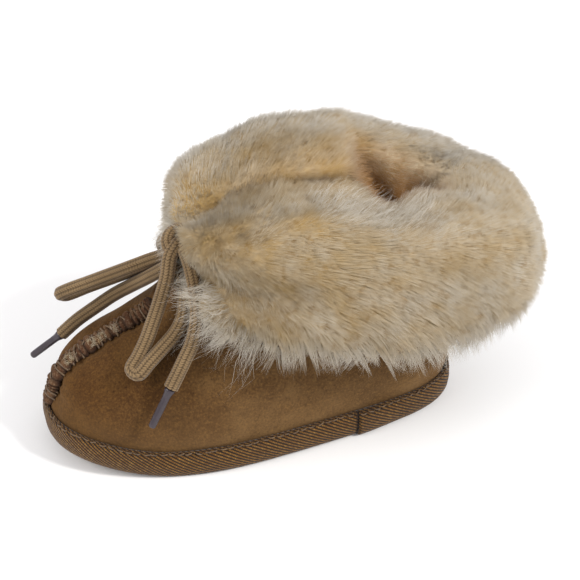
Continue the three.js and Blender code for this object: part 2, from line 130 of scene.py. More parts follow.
def linear(code):
    """An sRGB hex colour as the linear values that shader sockets take."""
    channels = [int(code[i:i + 2], 16) / 255 for i in (1, 3, 5)]
    return [c / 12.92 if c <= 0.04045 else ((c + 0.055) / 1.055) ** 2.4 for c in channels] + [1.0]


def add_node(tree, kind, inputs=None, gives=None, **settings):
    """Adds one node. Returns its first output in use, or the one that is named, or all of them.

    An input is a value, a hex colour or another node's output, by the socket's name or number.
    """
    node = tree.nodes.new(kind)
    for name, value in settings.items():
        setattr(node, name, value)
    for socket, value in (inputs or {}).items():
        if isinstance(value, bpy.types.NodeSocket):
            tree.links.new(value, node.inputs[socket])
            continue
        if str(value).startswith("#"):
            value = linear(value)
        node.inputs[socket].default_value = value
    if gives == "all":
        return node.outputs
    if gives:
        return node.outputs[gives]
    return next((output for output in node.outputs if output.enabled), None)


def new_material(name, patterns=(), marks=()):
    """An empty material, its node tree, each point's place on the shoe, and what it reads there.

    A pattern is its size in millimetres, its finer layers, how rough they are, and how bent it is. A mark is
    the name of a value that the piece carries at its points.
    """
    material = bpy.data.materials.new(name)
    material.use_nodes = True
    tree = material.node_tree
    tree.nodes.clear()
    place = add_node(tree, "ShaderNodeTexCoord", gives="Object")
    read = []
    for size, detail, rough, bent in patterns:
        read.append(add_node(tree, "ShaderNodeTexNoise", {
            "Vector": place, "Scale": 1 / (size * MM), "Detail": detail, "Roughness": rough,
            "Distortion": bent,
        }))
    for mark in marks:
        read.append(add_node(tree, "ShaderNodeAttribute", gives="Fac", attribute_name=mark))
    return material, tree, place, *read


def lay_colours(tree, colour, layers):
    """Lays colours over one another.

    A layer is a pattern, the values where it starts and is full, how much it covers then, and its colour.
    """
    for pattern, start, full, most, cover in layers:
        mask = add_node(tree, "ShaderNodeMapRange", {0: pattern, 1: start, 2: full, 4: most})
        colour = add_node(tree, "ShaderNodeMix", {0: mask, 6: colour, 7: cover}, data_type="RGBA")
    return colour


# Start, full and cover of a layer that follows its pattern all the way
WHOLE = (0, 1, 1)


def give_surface(tree, colour, settings, bump=None):
    """Ends a material. A bump is how strong it is, how high in millimetres, and its pattern."""
    inputs = {"Base Color": colour, **settings}
    if bump:
        strength, height, pattern = bump
        inputs["Normal"] = add_node(
            tree, "ShaderNodeBump", {"Strength": strength, "Distance": height * MM, "Height": pattern}
        )
    shader = add_node(tree, "ShaderNodeBsdfPrincipled", inputs)
    add_node(tree, "ShaderNodeOutputMaterial", {"Surface": shader})


def unit(vectors):
    return vectors / np.linalg.norm(vectors, axis=-1, keepdims=True)


def travelled(line):
    """How far each point of a line is from its start, along it."""
    return np.append(0, np.cumsum(np.linalg.norm(np.diff(line, axis=0), axis=1)))


def smooth_run(points, spacing, fine=40):
    """A smooth line through the points, cut into equal steps of about the spacing."""
    points = np.array(points, float)
    rows = np.vstack([2 * points[0] - points[1], points, 2 * points[-1] - points[-2]])
    gaps = np.sqrt(np.linalg.norm(np.diff(rows, axis=0), axis=1))
    t = np.linspace(0, 1, fine, endpoint=False)[:, None]
    pieces = []
    for i in range(1, len(rows) - 2):
        a, b, c, d = rows[i - 1:i + 3]
        before, here, after = gaps[i - 1:i + 2]
        leave = here * ((b - a) / before - (c - a) / (before + here) + (c - b) / here)
        arrive = here * ((c - b) / here - (d - b) / (here + after) + (d - c) / after)
        bend = 2 * b - 2 * c + leave + arrive
        pieces.append(b + t * (leave + t * (3 * c - 3 * b - 2 * leave - arrive + t * bend)))
    line = np.vstack(pieces + [points[-1:]])
    runs = travelled(line)
    stops = np.linspace(0, runs[-1], max(2, round(runs[-1] / spacing) + 1))
    return np.stack([np.interp(stops, runs, axis) for axis in line.T], axis=1)


def full_turn(count):
    return np.linspace(0, 2 * np.pi, count, endpoint=False)


def grid_faces(rows, columns, close_rows=False, close_columns=False):
    """Quads over a grid of points that is stored row by row."""
    i = np.arange(rows if close_rows else rows - 1)[:, None]
    j = np.arange(columns if close_columns else columns - 1)[None, :]
    next_i = (i + 1) % rows
    next_j = (j + 1) % columns
    quads = [i * columns + j, i * columns + next_j, next_i * columns + next_j, next_i * columns + j]
    return np.stack([q + 0 * i + 0 * j for q in quads], axis=-1).reshape(-1, 4).tolist()


def capped_rings(rings):
    """Points and faces of a closed body: rings one after the other, and a flat cap at both ends."""
    count, sides = rings.shape[:2]
    last = (count - 1) * sides
    faces = grid_faces(count, sides, close_columns=True)
    faces.append(list(range(sides - 1, -1, -1)))
    faces.append(list(range(last, last + sides)))
    return rings.reshape(-1, 3), faces


def capped_tube(line, radius):
    """A closed tube along a line, with a radius for each step and side."""
    along = unit(np.gradient(line, axis=0))
    side = np.empty_like(along)
    side[0] = unit(np.cross(along[0], [0.2, 0.3, 1]))
    # The ring's directions are carried along with no twist
    for i in range(1, len(line)):
        side[i] = unit(side[i - 1] - along[i] * np.dot(side[i - 1], along[i]))
    top = np.cross(along, side)
    turn = full_turn(radius.shape[1])[None, :, None]
    ring = side[:, None] * np.cos(turn) + top[:, None] * np.sin(turn)
    return capped_rings(line[:, None] + ring * radius[..., None])


def knitted_cord(line):
    """The lace's tube: columns of stitches with grooves between them, and each point's height for painted
    shade.
    """
    steps = np.linspace(0, travelled(line)[-1], len(line))[:, None]
    column = np.linspace(0, STITCH_COLUMNS, LACE_SIDES, endpoint=False)[None, :]
    off_middle = np.abs(column % 1 - 0.5) * 2
    stitch = np.abs(np.sin(np.pi * (steps / STITCH_LENGTH + STITCH_SLANT * off_middle)))
    height = (1 - COLUMN_SHADE * off_middle ** 3) * (1 - STITCH_SHADE * (1 - stitch))
    radius = LACE_DIAMETER / 2 - GROOVE_DEPTH * off_middle ** 2.5 - STITCH_DEPTH * (1 - stitch)
    points, faces = capped_tube(line, radius + THREAD_PROUD)
    return points, faces, height.ravel()


def new_object(name, points, faces):
    """A plain mesh in the scene."""
    mesh = bpy.data.meshes.new(name)
    mesh.from_pydata((np.asarray(points) * MM).tolist(), [], faces)
    thing = bpy.data.objects.new(name, mesh)
    bpy.context.collection.objects.link(thing)
    return thing


def shaped(name, points, faces, material, marks=None):
    """A smooth mesh with its material. Marks are numbers or directions at its points."""
    piece = new_object(name, points, faces)
    mesh = piece.data
    mesh.shade_smooth()
    for mark, values in (marks or {}).items():
        values = np.asarray(values, np.float32).ravel()
        directions = values.size == 3 * len(points)
        attribute = mesh.attributes.new(mark, "FLOAT_VECTOR" if directions else "FLOAT", "POINT")
        attribute.data.foreach_set("vector" if directions else "value", values)
    mesh.materials.append(material)
    return piece


def put_on(piece):
    """Lets a finished piece ride on the shoe."""
    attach(piece, "root")


def make_piece(name, points, faces, material, marks=None):
    """A piece that is finished as it is shaped."""
    piece = shaped(name, points, faces, material, marks)
    put_on(piece)
    return piece


# Knitted cotton: dull thread with a worn, uneven dye, and painted shade down in the grooves between its
# columns and its stitches
lace_cotton, tree, _, dye, fibre, height = new_material(
    "knitted_cotton_cord", [(6, 3, 0.5, 0), (0.3, 2, 0.5, 0)], ["height"]
)
thread = lay_colours(tree, "#6d573a", [(dye, *WHOLE, "#927957")])
# Painted shade: the cord goes dark where its surface lies low
colour = lay_colours(tree, "#2b1d10", [(height, 0.18, 0.8, 1, thread)])
give_surface(
    tree, colour, {"Roughness": 0.85, "Specular IOR Level": 0.2, "Sheen Weight": 0.15}, (0.35, 0.12, fibre)
)

# Aglets: hard plastic film rolled tight round each end, smooth and glossy
aglet_film, tree, _, rub = new_material("aglet_acetate_film", [(2, 4, 0.5, 0)])
colour = lay_colours(tree, "#160d0f", [(rub, *WHOLE, "#392b35")])
gloss = add_node(tree, "ShaderNodeMapRange", {0: rub, 3: 0.2, 4: 0.42})
give_surface(tree, colour, {"Roughness": gloss, "IOR": 1.48, "Coat Weight": 0.3, "Coat Roughness": 0.15})

for (node, tip), route in zip(AGLET_TIPS.items(), LACE_ENDS.values()):
    start = np.array(route[-1])
    shaft = np.linalg.norm(tip - start)
    # How far from the lace each ring is, and its radius: a flared mouth, a waist and a rounded tip
    film = np.array([
        [0.3, 1.5], [0.5, 1.62], [1.3, 1.5], [2.4, 1.22], [4, 1.16], [shaft * 0.6, 1.18],
        [shaft - 1.2, 1.14], [shaft - 0.35, 1.1], [shaft - 0.08, 0.95], [shaft, 0.75],
    ])
    line = start + unit(tip - start) * film[:, :1]
    points, faces = capped_tube(line, np.repeat(film[:, 1:], AGLET_SIDES, axis=1))
    make_piece(f"{node}_film", points, faces, aglet_film)
    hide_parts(node)

# The knot: one turn of the lace drawn tight round the crossed runs. Seen along its axis it rises on the left
# of the strands, arches over them and goes down behind on the right.
KNOT_CENTRE = np.array([23, 0.5, 65])
KNOT_SHIFT, KNOT_RADIUS, KNOT_STOPS = 1.8, 3.5, 24
KNOT_TURN, KNOT_TRAVEL = (222, -150), (8, -1.5)
knot_axis = unit(np.array([0.25, 0.8, 0.55]))
knot_side = unit(np.cross([0, 0, 1], knot_axis))
knot_up = np.cross(knot_axis, knot_side)
knot_middle = KNOT_CENTRE + KNOT_SHIFT * knot_side
knot_turn = np.radians(np.linspace(*KNOT_TURN, KNOT_STOPS))[:, None]
wrap = knot_middle + knot_axis * np.linspace(*KNOT_TRAVEL, KNOT_STOPS)[:, None]
wrap = wrap + KNOT_RADIUS * (np.cos(knot_turn) * knot_side + np.sin(knot_turn) * knot_up)
core = knot_middle + np.array([[0, -2, -1], [0.4, -0.5, 0.4], [-0.3, 1.5, -0.6], [0.6, 4.2, 0.3]])
wrap_points, wrap_faces, wrap_height = knitted_cord(smooth_run(wrap, LACE_STEP))
core_points, core_faces, core_height = knitted_cord(smooth_run(core, LACE_STEP))
knot = make_piece(
    "lace_knot_turn", np.vstack([wrap_points, core_points]),
    wrap_faces + [[corner + len(wrap_points) for corner in face] for face in core_faces],
    lace_cotton, {"height": np.append(wrap_height, core_height)},
)
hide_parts("lace_knot")

lace_runs = {}
for node, route in {**LACE_BARS, **LACE_LOOPS, **LACE_ENDS}.items():
    line = smooth_run(route, LACE_STEP)
    points, faces, height = knitted_cord(line)
    piece = make_piece(f"{node}_cord", points, faces, lace_cotton, {"height": height})
    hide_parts(node)
    lace_runs[node] = piece, line, float(travelled(line)[-1])

for node in LACE_LOOPS:
    piece, line, length = lace_runs[node]
for node, aglet in zip(LACE_ENDS, AGLET_TIPS):
    piece, line, length = lace_runs[node]


# Sole
# A flat piece of soft suede under the foot, split side down, whose edge is rebated for the binding tape.
# It curls up a little under the toe.
HALF_LENGTH = 65
TOE_SPRING, SPRING_START, SPRING_END = 6.5, 30, 75
SOLE_THICK = 3
SEAM_INSET = 1.4
SOLE_ANGLES = 160
SOLE_RING = {"toe_x": HALF_LENGTH, "heel_x": -HALF_LENGTH, "ball": 30, "heel_half": 24.5, "blunt": 2.5}
HEEL_SHARE, BALL_SHARE = 0.22, 0.7
# Inset and height of the sole's rings: a rounded tread edge, the rebate, then the feather edge above it
SOLE_RINGS = [[5.4, 0], [5.05, 0.12], [4.9, 0.4], [4.9, 1.3], [SEAM_INSET, 1.3], [SEAM_INSET, SOLE_THICK]]


def smooth_step(value, start, end):
    t = np.clip((value - start) / (end - start), 0, 1)
    return t * t * (3 - 2 * t)


def signed_power(value, power):
    return np.sign(value) * np.abs(value) ** power


def toe_lift(x):
    return TOE_SPRING * smooth_step(x, SPRING_START, SPRING_END)


def ring_plan(ring, angle):
    """A foot-shaped ring in plan, and each point's share from heel to toe. Angle 0 is the toe, then left."""
    power = 2 / ring["blunt"]
    share = (1 + signed_power(np.cos(angle), power)) / 2
    half = ring["heel_half"] + (ring["ball"] - ring["heel_half"]) * smooth_step(share, HEEL_SHARE, BALL_SHARE)
    x = ring["heel_x"] + (ring["toe_x"] - ring["heel_x"]) * share
    return x, half * signed_power(np.sin(angle), power), share


def outline_point(angle, inset, z, near=0.02):
    """A point of the sole's outline over the tape, moved inwards and up."""
    x, y, _ = ring_plan(SOLE_RING, angle)
    ahead, behind = (np.stack(ring_plan(SOLE_RING, angle + step)[:2], axis=-1) for step in (near, -near))
    along = unit(ahead - behind)
    x = x - along[..., 1] * inset
    y = y + along[..., 0] * inset
    return np.stack([x, y, z + toe_lift(x)], axis=-1)


def stacked_plate(rings):
    """A closed plate from rings stacked upwards, each run from the toe round by the left.

    Strips from side to side close its underside and its top.
    """
    rows, count = len(rings), len(rings[0])
    faces = grid_faces(rows, count, close_columns=True)
    top = (rows - 1) * count
    for j in range(count // 2):
        strip = list(dict.fromkeys([j, (count - j) % count, count - j - 1, j + 1]))
        faces.append(strip)
        faces.append([top + corner for corner in strip[::-1]])
    return np.vstack(rings), faces


# Split suede: a coarse, scuffed nap that is darker where it has been trodden
sole_suede, tree, _, wear, nap = new_material("split_suede_sole", [(14, 6, 0.65, 0), (0.8, 3, 0.5, 0)])
colour = lay_colours(tree, "#4a3623", [(wear, 0.35, 0.68, 1, "#72573b"), (nap, 0.4, 0.75, 0.45, "#8a6f50")])
give_surface(
    tree, colour, {"Roughness": 0.95, "Specular IOR Level": 0.15, "Sheen Weight": 0.2}, (0.6, 0.25, nap)
)

sole_turns = full_turn(SOLE_ANGLES)
points, faces = stacked_plate([outline_point(sole_turns, inset, z) for inset, z in SOLE_RINGS])
sole = make_piece("suede_sole", points, faces, sole_suede)
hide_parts("outsole")


# Binding tape
# Twill cotton tape, folded round the raw edge of the upper and the sole and sewn through near its top edge.
# Its ends meet on the left side, where one is turned in and lapped over the other.
TAPE_STEP = 0.45
RIB_PITCH = 0.95
RIB_SLANT = math.radians(32)
YARN_PITCH = 0.6
STITCHED_EDGE, EDGE_HEIGHT, EDGE_MIDDLE = 2.2, 0.3, 0.6
EDGE_YARN_LONG, EDGE_YARN_HIGH, EDGE_SWAY, EDGE_SWAY_LONG = 1.9, 1.6, 0.8, 2.3
STITCH_PITCH, STITCH_DROP, STITCH_RADIUS = 2.6, 1.5, 0.22
PULL_WIDE, PULL_DEEP, DIMPLE_DEEP = 0.55, 0.25, 0.12
EDGE_PUCKER, EDGE_PUCKER_WAVE = (0.22, 1.2, 2.2), (2.9, 1.3, 11)
FACE_STEP, FACE_END, LIP_START, LIP_STEPS, BACK_DROP = 0.34, 11.2, 11.6, 5, 14
LAP_ANGLE, LAP_PROUD, LAP_FADE, LAP_SHADOW_WIDTH = 1.92, 1.3, 0.3, 1.3
# How dark the painted shadow in the lap's step is, and how much the proud yarns of the sewn edge lighten its
# painted shade
LAP_SHADOW_DARK, EDGE_DARK = 1.25, 0.8
STITCH_STRAY, STITCH_SKEW = 0.4, 0.22

# The tape's face from its sewn edge down to its lip under the sole: inset from the outline, height, and
# how much a lap underneath pushes it out
TAPE_FACE = np.array([
    [1.0, 9.2, 0.0], [0.35, 9.25, 0.5], [-0.2, 8.4, 0.9], [-0.45, 7.0, 1.0], [-0.7, 4.5, 1.0],
    [-0.45, 2.1, 1.0], [0.1, 0.75, 0.8], [0.75, 0.2, 0.5], [1.7, 0.0, 0.0], [4.5, 0.0, 0.0],
])
# Its back, from the lip up to the sewn edge: inset and height
TAPE_BACK = np.array([[4.5, 1.0], [1.3, 1.0], [1.0, 2.2]])


def hump(value, height, middle, width):
    """A soft rise of the height given round a middle value."""
    return height * np.exp(-((value - middle) / width) ** 2)


def swaying_wave(value, length, sway, sway_length):
    """A wave that runs now faster and now slower."""
    return np.sin(value / length + sway * np.sin(value / sway_length))


fine_angles = np.linspace(LAP_ANGLE, LAP_ANGLE + 2 * np.pi, 4000)
fine_runs = travelled(outline_point(fine_angles, 0, 0))
tape_runs = np.linspace(0, fine_runs[-1], round(fine_runs[-1] / TAPE_STEP))
tape_angles = np.interp(tape_runs, fine_runs, fine_angles)
face_fall = travelled(TAPE_FACE[:, :2])
face_drops = np.append(np.arange(0, FACE_END, FACE_STEP), np.linspace(LIP_START, face_fall[-1], LIP_STEPS))
face_inset, face_height, face_pushed = (np.interp(face_drops, face_fall, column) for column in TAPE_FACE.T)
lap_lift = LAP_PROUD * (1 - smooth_step(tape_angles, LAP_ANGLE, LAP_ANGLE + LAP_FADE))
lap_lift[-1] = 0
run, drop = np.meshgrid(tape_runs, face_drops, indexing="ij")
edge_turn = np.pi * (run / EDGE_YARN_LONG + drop / EDGE_YARN_HIGH)
edge_yarn = np.abs(np.sin(edge_turn + EDGE_SWAY * np.sin(run / EDGE_SWAY_LONG)))
on_edge = 1 - smooth_step(drop, STITCHED_EDGE - 0.4, STITCHED_EDGE + 0.2)
drawn_in = PULL_DEEP + DIMPLE_DEEP * np.cos(2 * np.pi * run / STITCH_PITCH)
pull = hump(drop, 1, STITCH_DROP, PULL_WIDE) * drawn_in
pucker = hump(drop, *EDGE_PUCKER) * swaying_wave(run, *EDGE_PUCKER_WAVE)
face_fade = smooth_step(drop, 0, 0.5) * (1 - smooth_step(drop, 9.6, 10.6))
swell = (EDGE_HEIGHT * (edge_yarn - EDGE_MIDDLE) * on_edge - pull + pucker) * face_fade
face_points = outline_point(
    tape_angles[:, None], face_inset - lap_lift[:, None] * face_pushed - swell, face_height
)
back_points = outline_point(tape_angles[:, None], TAPE_BACK[:, 0], TAPE_BACK[:, 1])
points, faces = capped_rings(np.concatenate([face_points, back_points], axis=1))
# Painted shadow lies in the step of the lap, and painted shade over the sewn edge, lightest on its proud
# yarns
lap_shadow = LAP_SHADOW_DARK * smooth_step(run, tape_runs[-1] - LAP_SHADOW_WIDTH, tape_runs[-1] - 0.4 * LAP_SHADOW_WIDTH)
edge_and_lap_shade = np.maximum(on_edge * (1 - EDGE_DARK * edge_yarn), lap_shadow)
on_back = np.ones((len(tape_runs), len(TAPE_BACK)))
tape_marks = {
    "run": np.concatenate([run, on_back * tape_runs[:, None]], axis=1),
    "drop": np.concatenate([drop, on_back * BACK_DROP], axis=1),
    "edge": np.concatenate([edge_and_lap_shade, on_back * 0], axis=1),
}

# Twill cotton: matt yarns in fine slanting ribs, with painted shade between them and the yarn's own colour
# where they stand proud. The sewn edge is drawn in and has painted shade over it, deepest between its yarns.
tape_twill, tree, _, dirt, slub, run_mark, drop_mark, edge_shade_mark = new_material(
    "cotton_twill_tape", [(9, 4, 0.5, 0), (0.7, 3, 0.5, 0)], ["run", "drop", "edge"]
)
waves = []
for pitch, along_run, along_drop in (
    (RIB_PITCH, math.sin(RIB_SLANT), -math.cos(RIB_SLANT)),
    (YARN_PITCH, math.cos(RIB_SLANT), math.sin(RIB_SLANT)),
):
    turn = 0.0
    rate = 2 * math.pi / pitch
    for mark, turns in ((run_mark, rate * along_run), (drop_mark, rate * along_drop), (slub, 1.4)):
        turn = add_node(tree, "ShaderNodeMath", {0: mark, 1: turns, 2: turn}, operation="MULTIPLY_ADD")
    waves.append(add_node(tree, "ShaderNodeMath", {0: turn}, operation="SINE"))
rib = add_node(tree, "ShaderNodeMapRange", {0: waves[0], 1: -0.8, 2: 0.7})
yarn = add_node(tree, "ShaderNodeMapRange", {0: waves[1], 1: -1.0, 2: 1.0, 3: 0.55, 4: 1.0})
weave = add_node(tree, "ShaderNodeMath", {0: rib, 1: yarn}, operation="MULTIPLY")
yarn_tone = lay_colours(tree, "#5a3a14", [(dirt, *WHOLE, "#7f551c"), (slub, 0.45, 0.7, 0.7, "#a87e3c")])
# Painted shade: near black between the ribs, and over the sewn edge and the lap's step
colour = lay_colours(tree, "#150b03", [(weave, *WHOLE, yarn_tone), (edge_shade_mark, 0, 4 / 3, 1, "#1c0f08")])
give_surface(
    tree, colour, {"Roughness": 0.85, "Specular IOR Level": 0.25, "Sheen Weight": 0.1}, (0.7, 0.25, weave)
)

tape = make_piece("twill_binding_tape", points, faces, tape_twill, tape_marks)
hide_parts("binding_tape")

# The lockstitches along the tape's top edge: one short thread with a slight shine lies in each dimple
stitch_thread, tree, _, ply = new_material("polyester_sewing_thread", [(1.2, 2, 0.5, 0)])
colour = lay_colours(tree, "#24160c", [(ply, *WHOLE, "#7a5f40")])
give_surface(tree, colour, {"Roughness": 0.45, "Specular IOR Level": 0.5})


def new_tree(name, inputs):
    """An empty node tree that makes shapes, and the outputs of its named inputs."""
    tree = bpy.data.node_groups.new(name, "GeometryNodeTree")
    for label, kind in inputs.items():
        tree.interface.new_socket(name=label, in_out="INPUT", socket_type=f"NodeSocket{kind}")
    tree.interface.new_socket(name="Made", in_out="OUTPUT", socket_type="NodeSocketGeometry")
    return tree, add_node(tree, "NodeGroupInput", gives="all")


# A tree that lays one stitch on each point of a line, turned to the line's own directions
stitch_tree, entry = new_tree(
    "row_of_stitches", {"Line": "Geometry", "Stitch": "Object", "Thread": "Material"}
)
sewn, proud = (
    add_node(stitch_tree, "GeometryNodeInputNamedAttribute", {"Name": mark}, data_type="FLOAT_VECTOR")
    for mark in ("sewn", "proud")
)
turned = add_node(
    stitch_tree, "FunctionNodeAxesToRotation", {0: proud, 1: sewn}, primary_axis="Z", secondary_axis="X"
)
shape = add_node(stitch_tree, "GeometryNodeObjectInfo", {"Object": entry["Stitch"]}, gives="Geometry")
laid = add_node(stitch_tree, "GeometryNodeInstanceOnPoints", {
    "Points": entry["Line"], "Instance": shape, "Rotation": turned,
})
joined = add_node(stitch_tree, "GeometryNodeRealizeInstances", {"Geometry": laid})
threaded = add_node(stitch_tree, "GeometryNodeSetMaterial", {"Geometry": joined, "Material": entry["Thread"]})
add_node(stitch_tree, "NodeGroupOutput", {0: threaded})


def made_plain(piece):
    """Turns what a piece's modifiers make into its plain mesh, and takes them off."""
    bpy.context.view_layer.update()
    made = bpy.data.meshes.new_from_object(piece.evaluated_get(bpy.context.evaluated_depsgraph_get()))
    piece.modifiers.clear()
    piece.data = made
    return made


def grow(piece, tree, values):
    """Lets a node tree remake a piece, with values for its inputs by their names."""
    modifier = piece.modifiers.new(tree.name, "NODES")
    modifier.node_group = tree
    for socket in tree.interface.items_tree:
        if socket.name in values:
            modifier[socket.identifier] = values[socket.name]
    return made_plain(piece)


def drop_marks(mesh, marks):
    for mark in marks:
        if mark in mesh.attributes:
            mesh.attributes.remove(mesh.attributes[mark])


def sew_row(name, places, sewn, proud, stitch_line, thread_radius, sides=6):
    """A row of like stitches, each a line in its own X, along the row, Y, and Z, out of the surface."""
    radius = np.full((len(stitch_line), sides), thread_radius)
    stitch = new_object("stitch", *capped_tube(stitch_line, radius))
    row = shaped(name, places, [], stitch_thread, {"sewn": sewn, "proud": proud})
    made = grow(row, stitch_tree, {"Stitch": stitch, "Thread": stitch_thread})
    drop_marks(made, ("sewn", "proud"))
    made.shade_smooth()
    put_on(row)
    bpy.data.objects.remove(stitch)


seam_line = face_points[:, np.argmin(np.abs(face_drops - STITCH_DROP))]
seam_out = unit(outline_point(tape_angles, -1, 0) - outline_point(tape_angles, 0, 0))
scatter = np.random.default_rng(5)
seam_stops = np.arange(0.8, tape_runs[-1] - 1, STITCH_PITCH)
seam_stray = scatter.uniform(-STITCH_STRAY, STITCH_STRAY, len(seam_stops))
seam_index = np.searchsorted(tape_runs, seam_stops + seam_stray)
seam_skew = scatter.normal(0, STITCH_SKEW, (len(seam_stops), 3))
lockstitch = smooth_run(
    [[-1.05, 0, -0.35], [-0.6, 0, 0.12], [0, 0.08, 0.24], [0.6, 0, 0.12], [1.05, 0, -0.35]], 0.24
)
sew_row(
    "tape_lockstitches", seam_line[seam_index],
    unit(unit(np.gradient(seam_line, axis=0))[seam_index] + seam_skew), seam_out[seam_index],
    lockstitch, STITCH_RADIUS,
)


# Upper
# Two halves of sheepskin, suede side out, moulded over the foot and sewn into one soft wall. It is open at
# the collar and the throat, with a punched hole each side for the lace.
SKIN = 2.4
FOLD = 8
LEVEL_STEP = 0.08
UPPER_ANGLES = 240
INNER_STEP = 4
RING_COLUMNS = ("toe_x", "toe_z", "heel_x", "heel_z", "ball", "heel_half", "rise", "spring", "blunt")
UPPER_RINGS = np.array([
    [63.6, 3.3, -63.6, 3.3, 28.6, 23.1, 0, 1, 2.5],
    [63.6, 9, -63.6, 9, 28.6, 23.1, 0, 1, 2.5],
    [62, 15, -64.4, 16, 29.4, 24, 0, 0.8, 2.5],
    [59.4, 23.4, -65, 24, 28.2, 24.4, 0, 0.5, 2.45],
    [53, 30.6, -65, 32, 26.2, 24.2, 0, 0.25, 2.4],
    [43.4, 36.8, -64.8, 40, 24.2, 23.8, 0, 0, 2.35],
    [33, 42.4, -64.4, 48, 23, 23.4, 1.5, 0, 2.3],
    [27, 50.5, -64, 55, 22.4, 23, 4.5, 0, 2.3],
    [24, 60, -64, 61, 22, 22.6, 9, 0, 2.3],
    [22.4, 73, -64, 73, 21.6, 22.2, 11, 0, 2.3],
])
# The skin's relief, each as how much, where, and half width: puckers over the tape by their level, and
# gathers and a trough by how far they are from the seam. A wave is its length, and how much and how slowly
# it sways.
TAPE_PUCKERS, SEAM_GATHERS, SEAM_TROUGH = (0.28, 1.35, 0.45), (0.4, 0, 7), (0.7, 3.3, 1.3)
PUCKER_WAVE, GATHER_WAVE = (3.1, 1.4, 9), (1 / 11, 0.6, 1 / 5)
ROUND_RADIUS, SOFT_SWELL, SOFT_LONG = 62, 0.35, 17
CREASES = [
    # soft creases of both sides: x and z of their two ends, half width, and depth (a ridge where negative)
    [46, 24, 34, 34, 4.5, 0.7],
    [34, 17, 20, 31, 5.5, 0.6],
    [6, 15, -12, 26, 7, 0.7],
    [-36, 13, -44, 24, 5, 0.6],
    [28, 27, 14, 36, 4, -0.5],
]


def between_rows(table, place):
    """Smooth in-between values of a table's rows, where place is a row number with a fraction.

    It goes on straight past the last row.
    """
    last = len(table) - 1
    past_last = np.clip(np.asarray(place, float) - last, 0, None)
    place = np.asarray(place, float) - past_last
    index = np.clip(np.floor(place).astype(int), 0, last - 1)
    a, b, c, d = (table[np.clip(index + k, 0, last)] for k in (-1, 0, 1, 2))
    t = (place - index)[..., None]
    smooth = b + t / 2 * (c - a + t * (2 * a - 5 * b + 4 * c - d + t * (3 * b - a - 3 * c + d)))
    return smooth + past_last[..., None] * (table[last] - table[last - 1])


def ring_at(level):
    return dict(zip(RING_COLUMNS, np.moveaxis(between_rows(UPPER_RINGS, level), -1, 0)))


def upper_point(level, angle):
    """A point of the upper's outside. Levels are rows of its rings, and angle 0 is the toe, then left."""
    ring = ring_at(level)
    x, y, share = ring_plan(ring, angle)
    z = ring["heel_z"] + (ring["toe_z"] - ring["heel_z"]) * share + ring["rise"] * np.sin(np.pi * share)
    return np.stack([x, y, z + ring["spring"] * toe_lift(x)], axis=-1)


def upper_out(level, angle, near=0.02):
    """The direction straight out of the upper."""
    around = upper_point(level, angle + near) - upper_point(level, angle - near)
    upward = upper_point(level + near, angle) - upper_point(level - near, angle)
    return unit(np.cross(around, upward))


def crease_depth(point):
    depth = np.zeros(point.shape[:-1])
    on_side = smooth_step(np.abs(point[..., 1]), 10, 17)
    for start_x, start_z, end_x, end_z, half, deep in CREASES:
        reach = np.array([end_x - start_x, end_z - start_z])
        offset = point[..., [0, 2]] - np.array([start_x, start_z])
        share = np.clip(offset @ reach / (reach @ reach), 0, 1)
        away = np.linalg.norm(offset - share[..., None] * reach, axis=-1)
        depth += hump(away, deep, 0, half) * on_side
    return depth


def suede_relief(level, angle, point):
    """How far the soft skin stands out of its moulded shape.

    It puckers over the tape, is gathered at the seam, and creases at the sides.
    """
    run = ROUND_RADIUS * angle
    over_tape = hump(level, *TAPE_PUCKERS) * smooth_step(level, 1.0, 1.25)
    puckers = over_tape * swaying_wave(run, *PUCKER_WAVE)
    on_vamp = smooth_step(point[..., 0], 14, 26) * smooth_step(level, 1.3, 2.4)
    off_seam = np.abs(point[..., 1])
    gathers = hump(off_seam, *SEAM_GATHERS) * swaying_wave(level, *GATHER_WAVE)
    trough = hump(off_seam, *SEAM_TROUGH)
    soft = SOFT_SWELL * np.sin(run / SOFT_LONG + level) * np.sin(level * 1.9 + 0.7)
    soft = soft * smooth_step(level, 1.2, 2)
    return puckers + on_vamp * (gathers - trough) + soft - crease_depth(point)


# Suede: a short, soft nap with no gloss. It lies lighter and darker where it was stroked or scuffed, and its
# fibres give a fine speckle.
suede, tree, place, stroke, cloud, nap = new_material(
    "sheepskin_suede", [(17, 5, 0.6, 0.6), (4, 4, 0.65, 0), (0.7, 3, 0.7, 0)]
)
colour = lay_colours(tree, "#483018", [
    (stroke, 0.34, 0.68, 1, "#60472a"), (cloud, 0.5, 0.72, 0.5, "#39230f"),
    (nap, 0.5, 0.75, 0.8, "#74562f"), (nap, 0.46, 0.26, 0.85, "#2c1c0d"),
])
# Rubbed patches: a point on the shoe, the patch's radius, and how dark it is
for spot, radius, dark in (
    ((55, 24, 16), 9, 0.35), ((48, 27, 14), 8, 0.3), ((61, 12, 14), 8, 0.4), ((30, 27, 18), 11, 0.15),
):
    away = add_node(tree, "ShaderNodeVectorMath", {0: place, 1: [c * MM for c in spot]}, operation="DISTANCE")
    near = add_node(tree, "ShaderNodeMapRange", {
        0: away, 1: radius * MM, 2: 0.0, 4: dark,
    }, interpolation_type="SMOOTHSTEP")
    mottled = add_node(tree, "ShaderNodeMath", {0: near, 1: stroke}, operation="MULTIPLY")
    colour = lay_colours(tree, colour, [(mottled, *WHOLE, "#1d1107")])
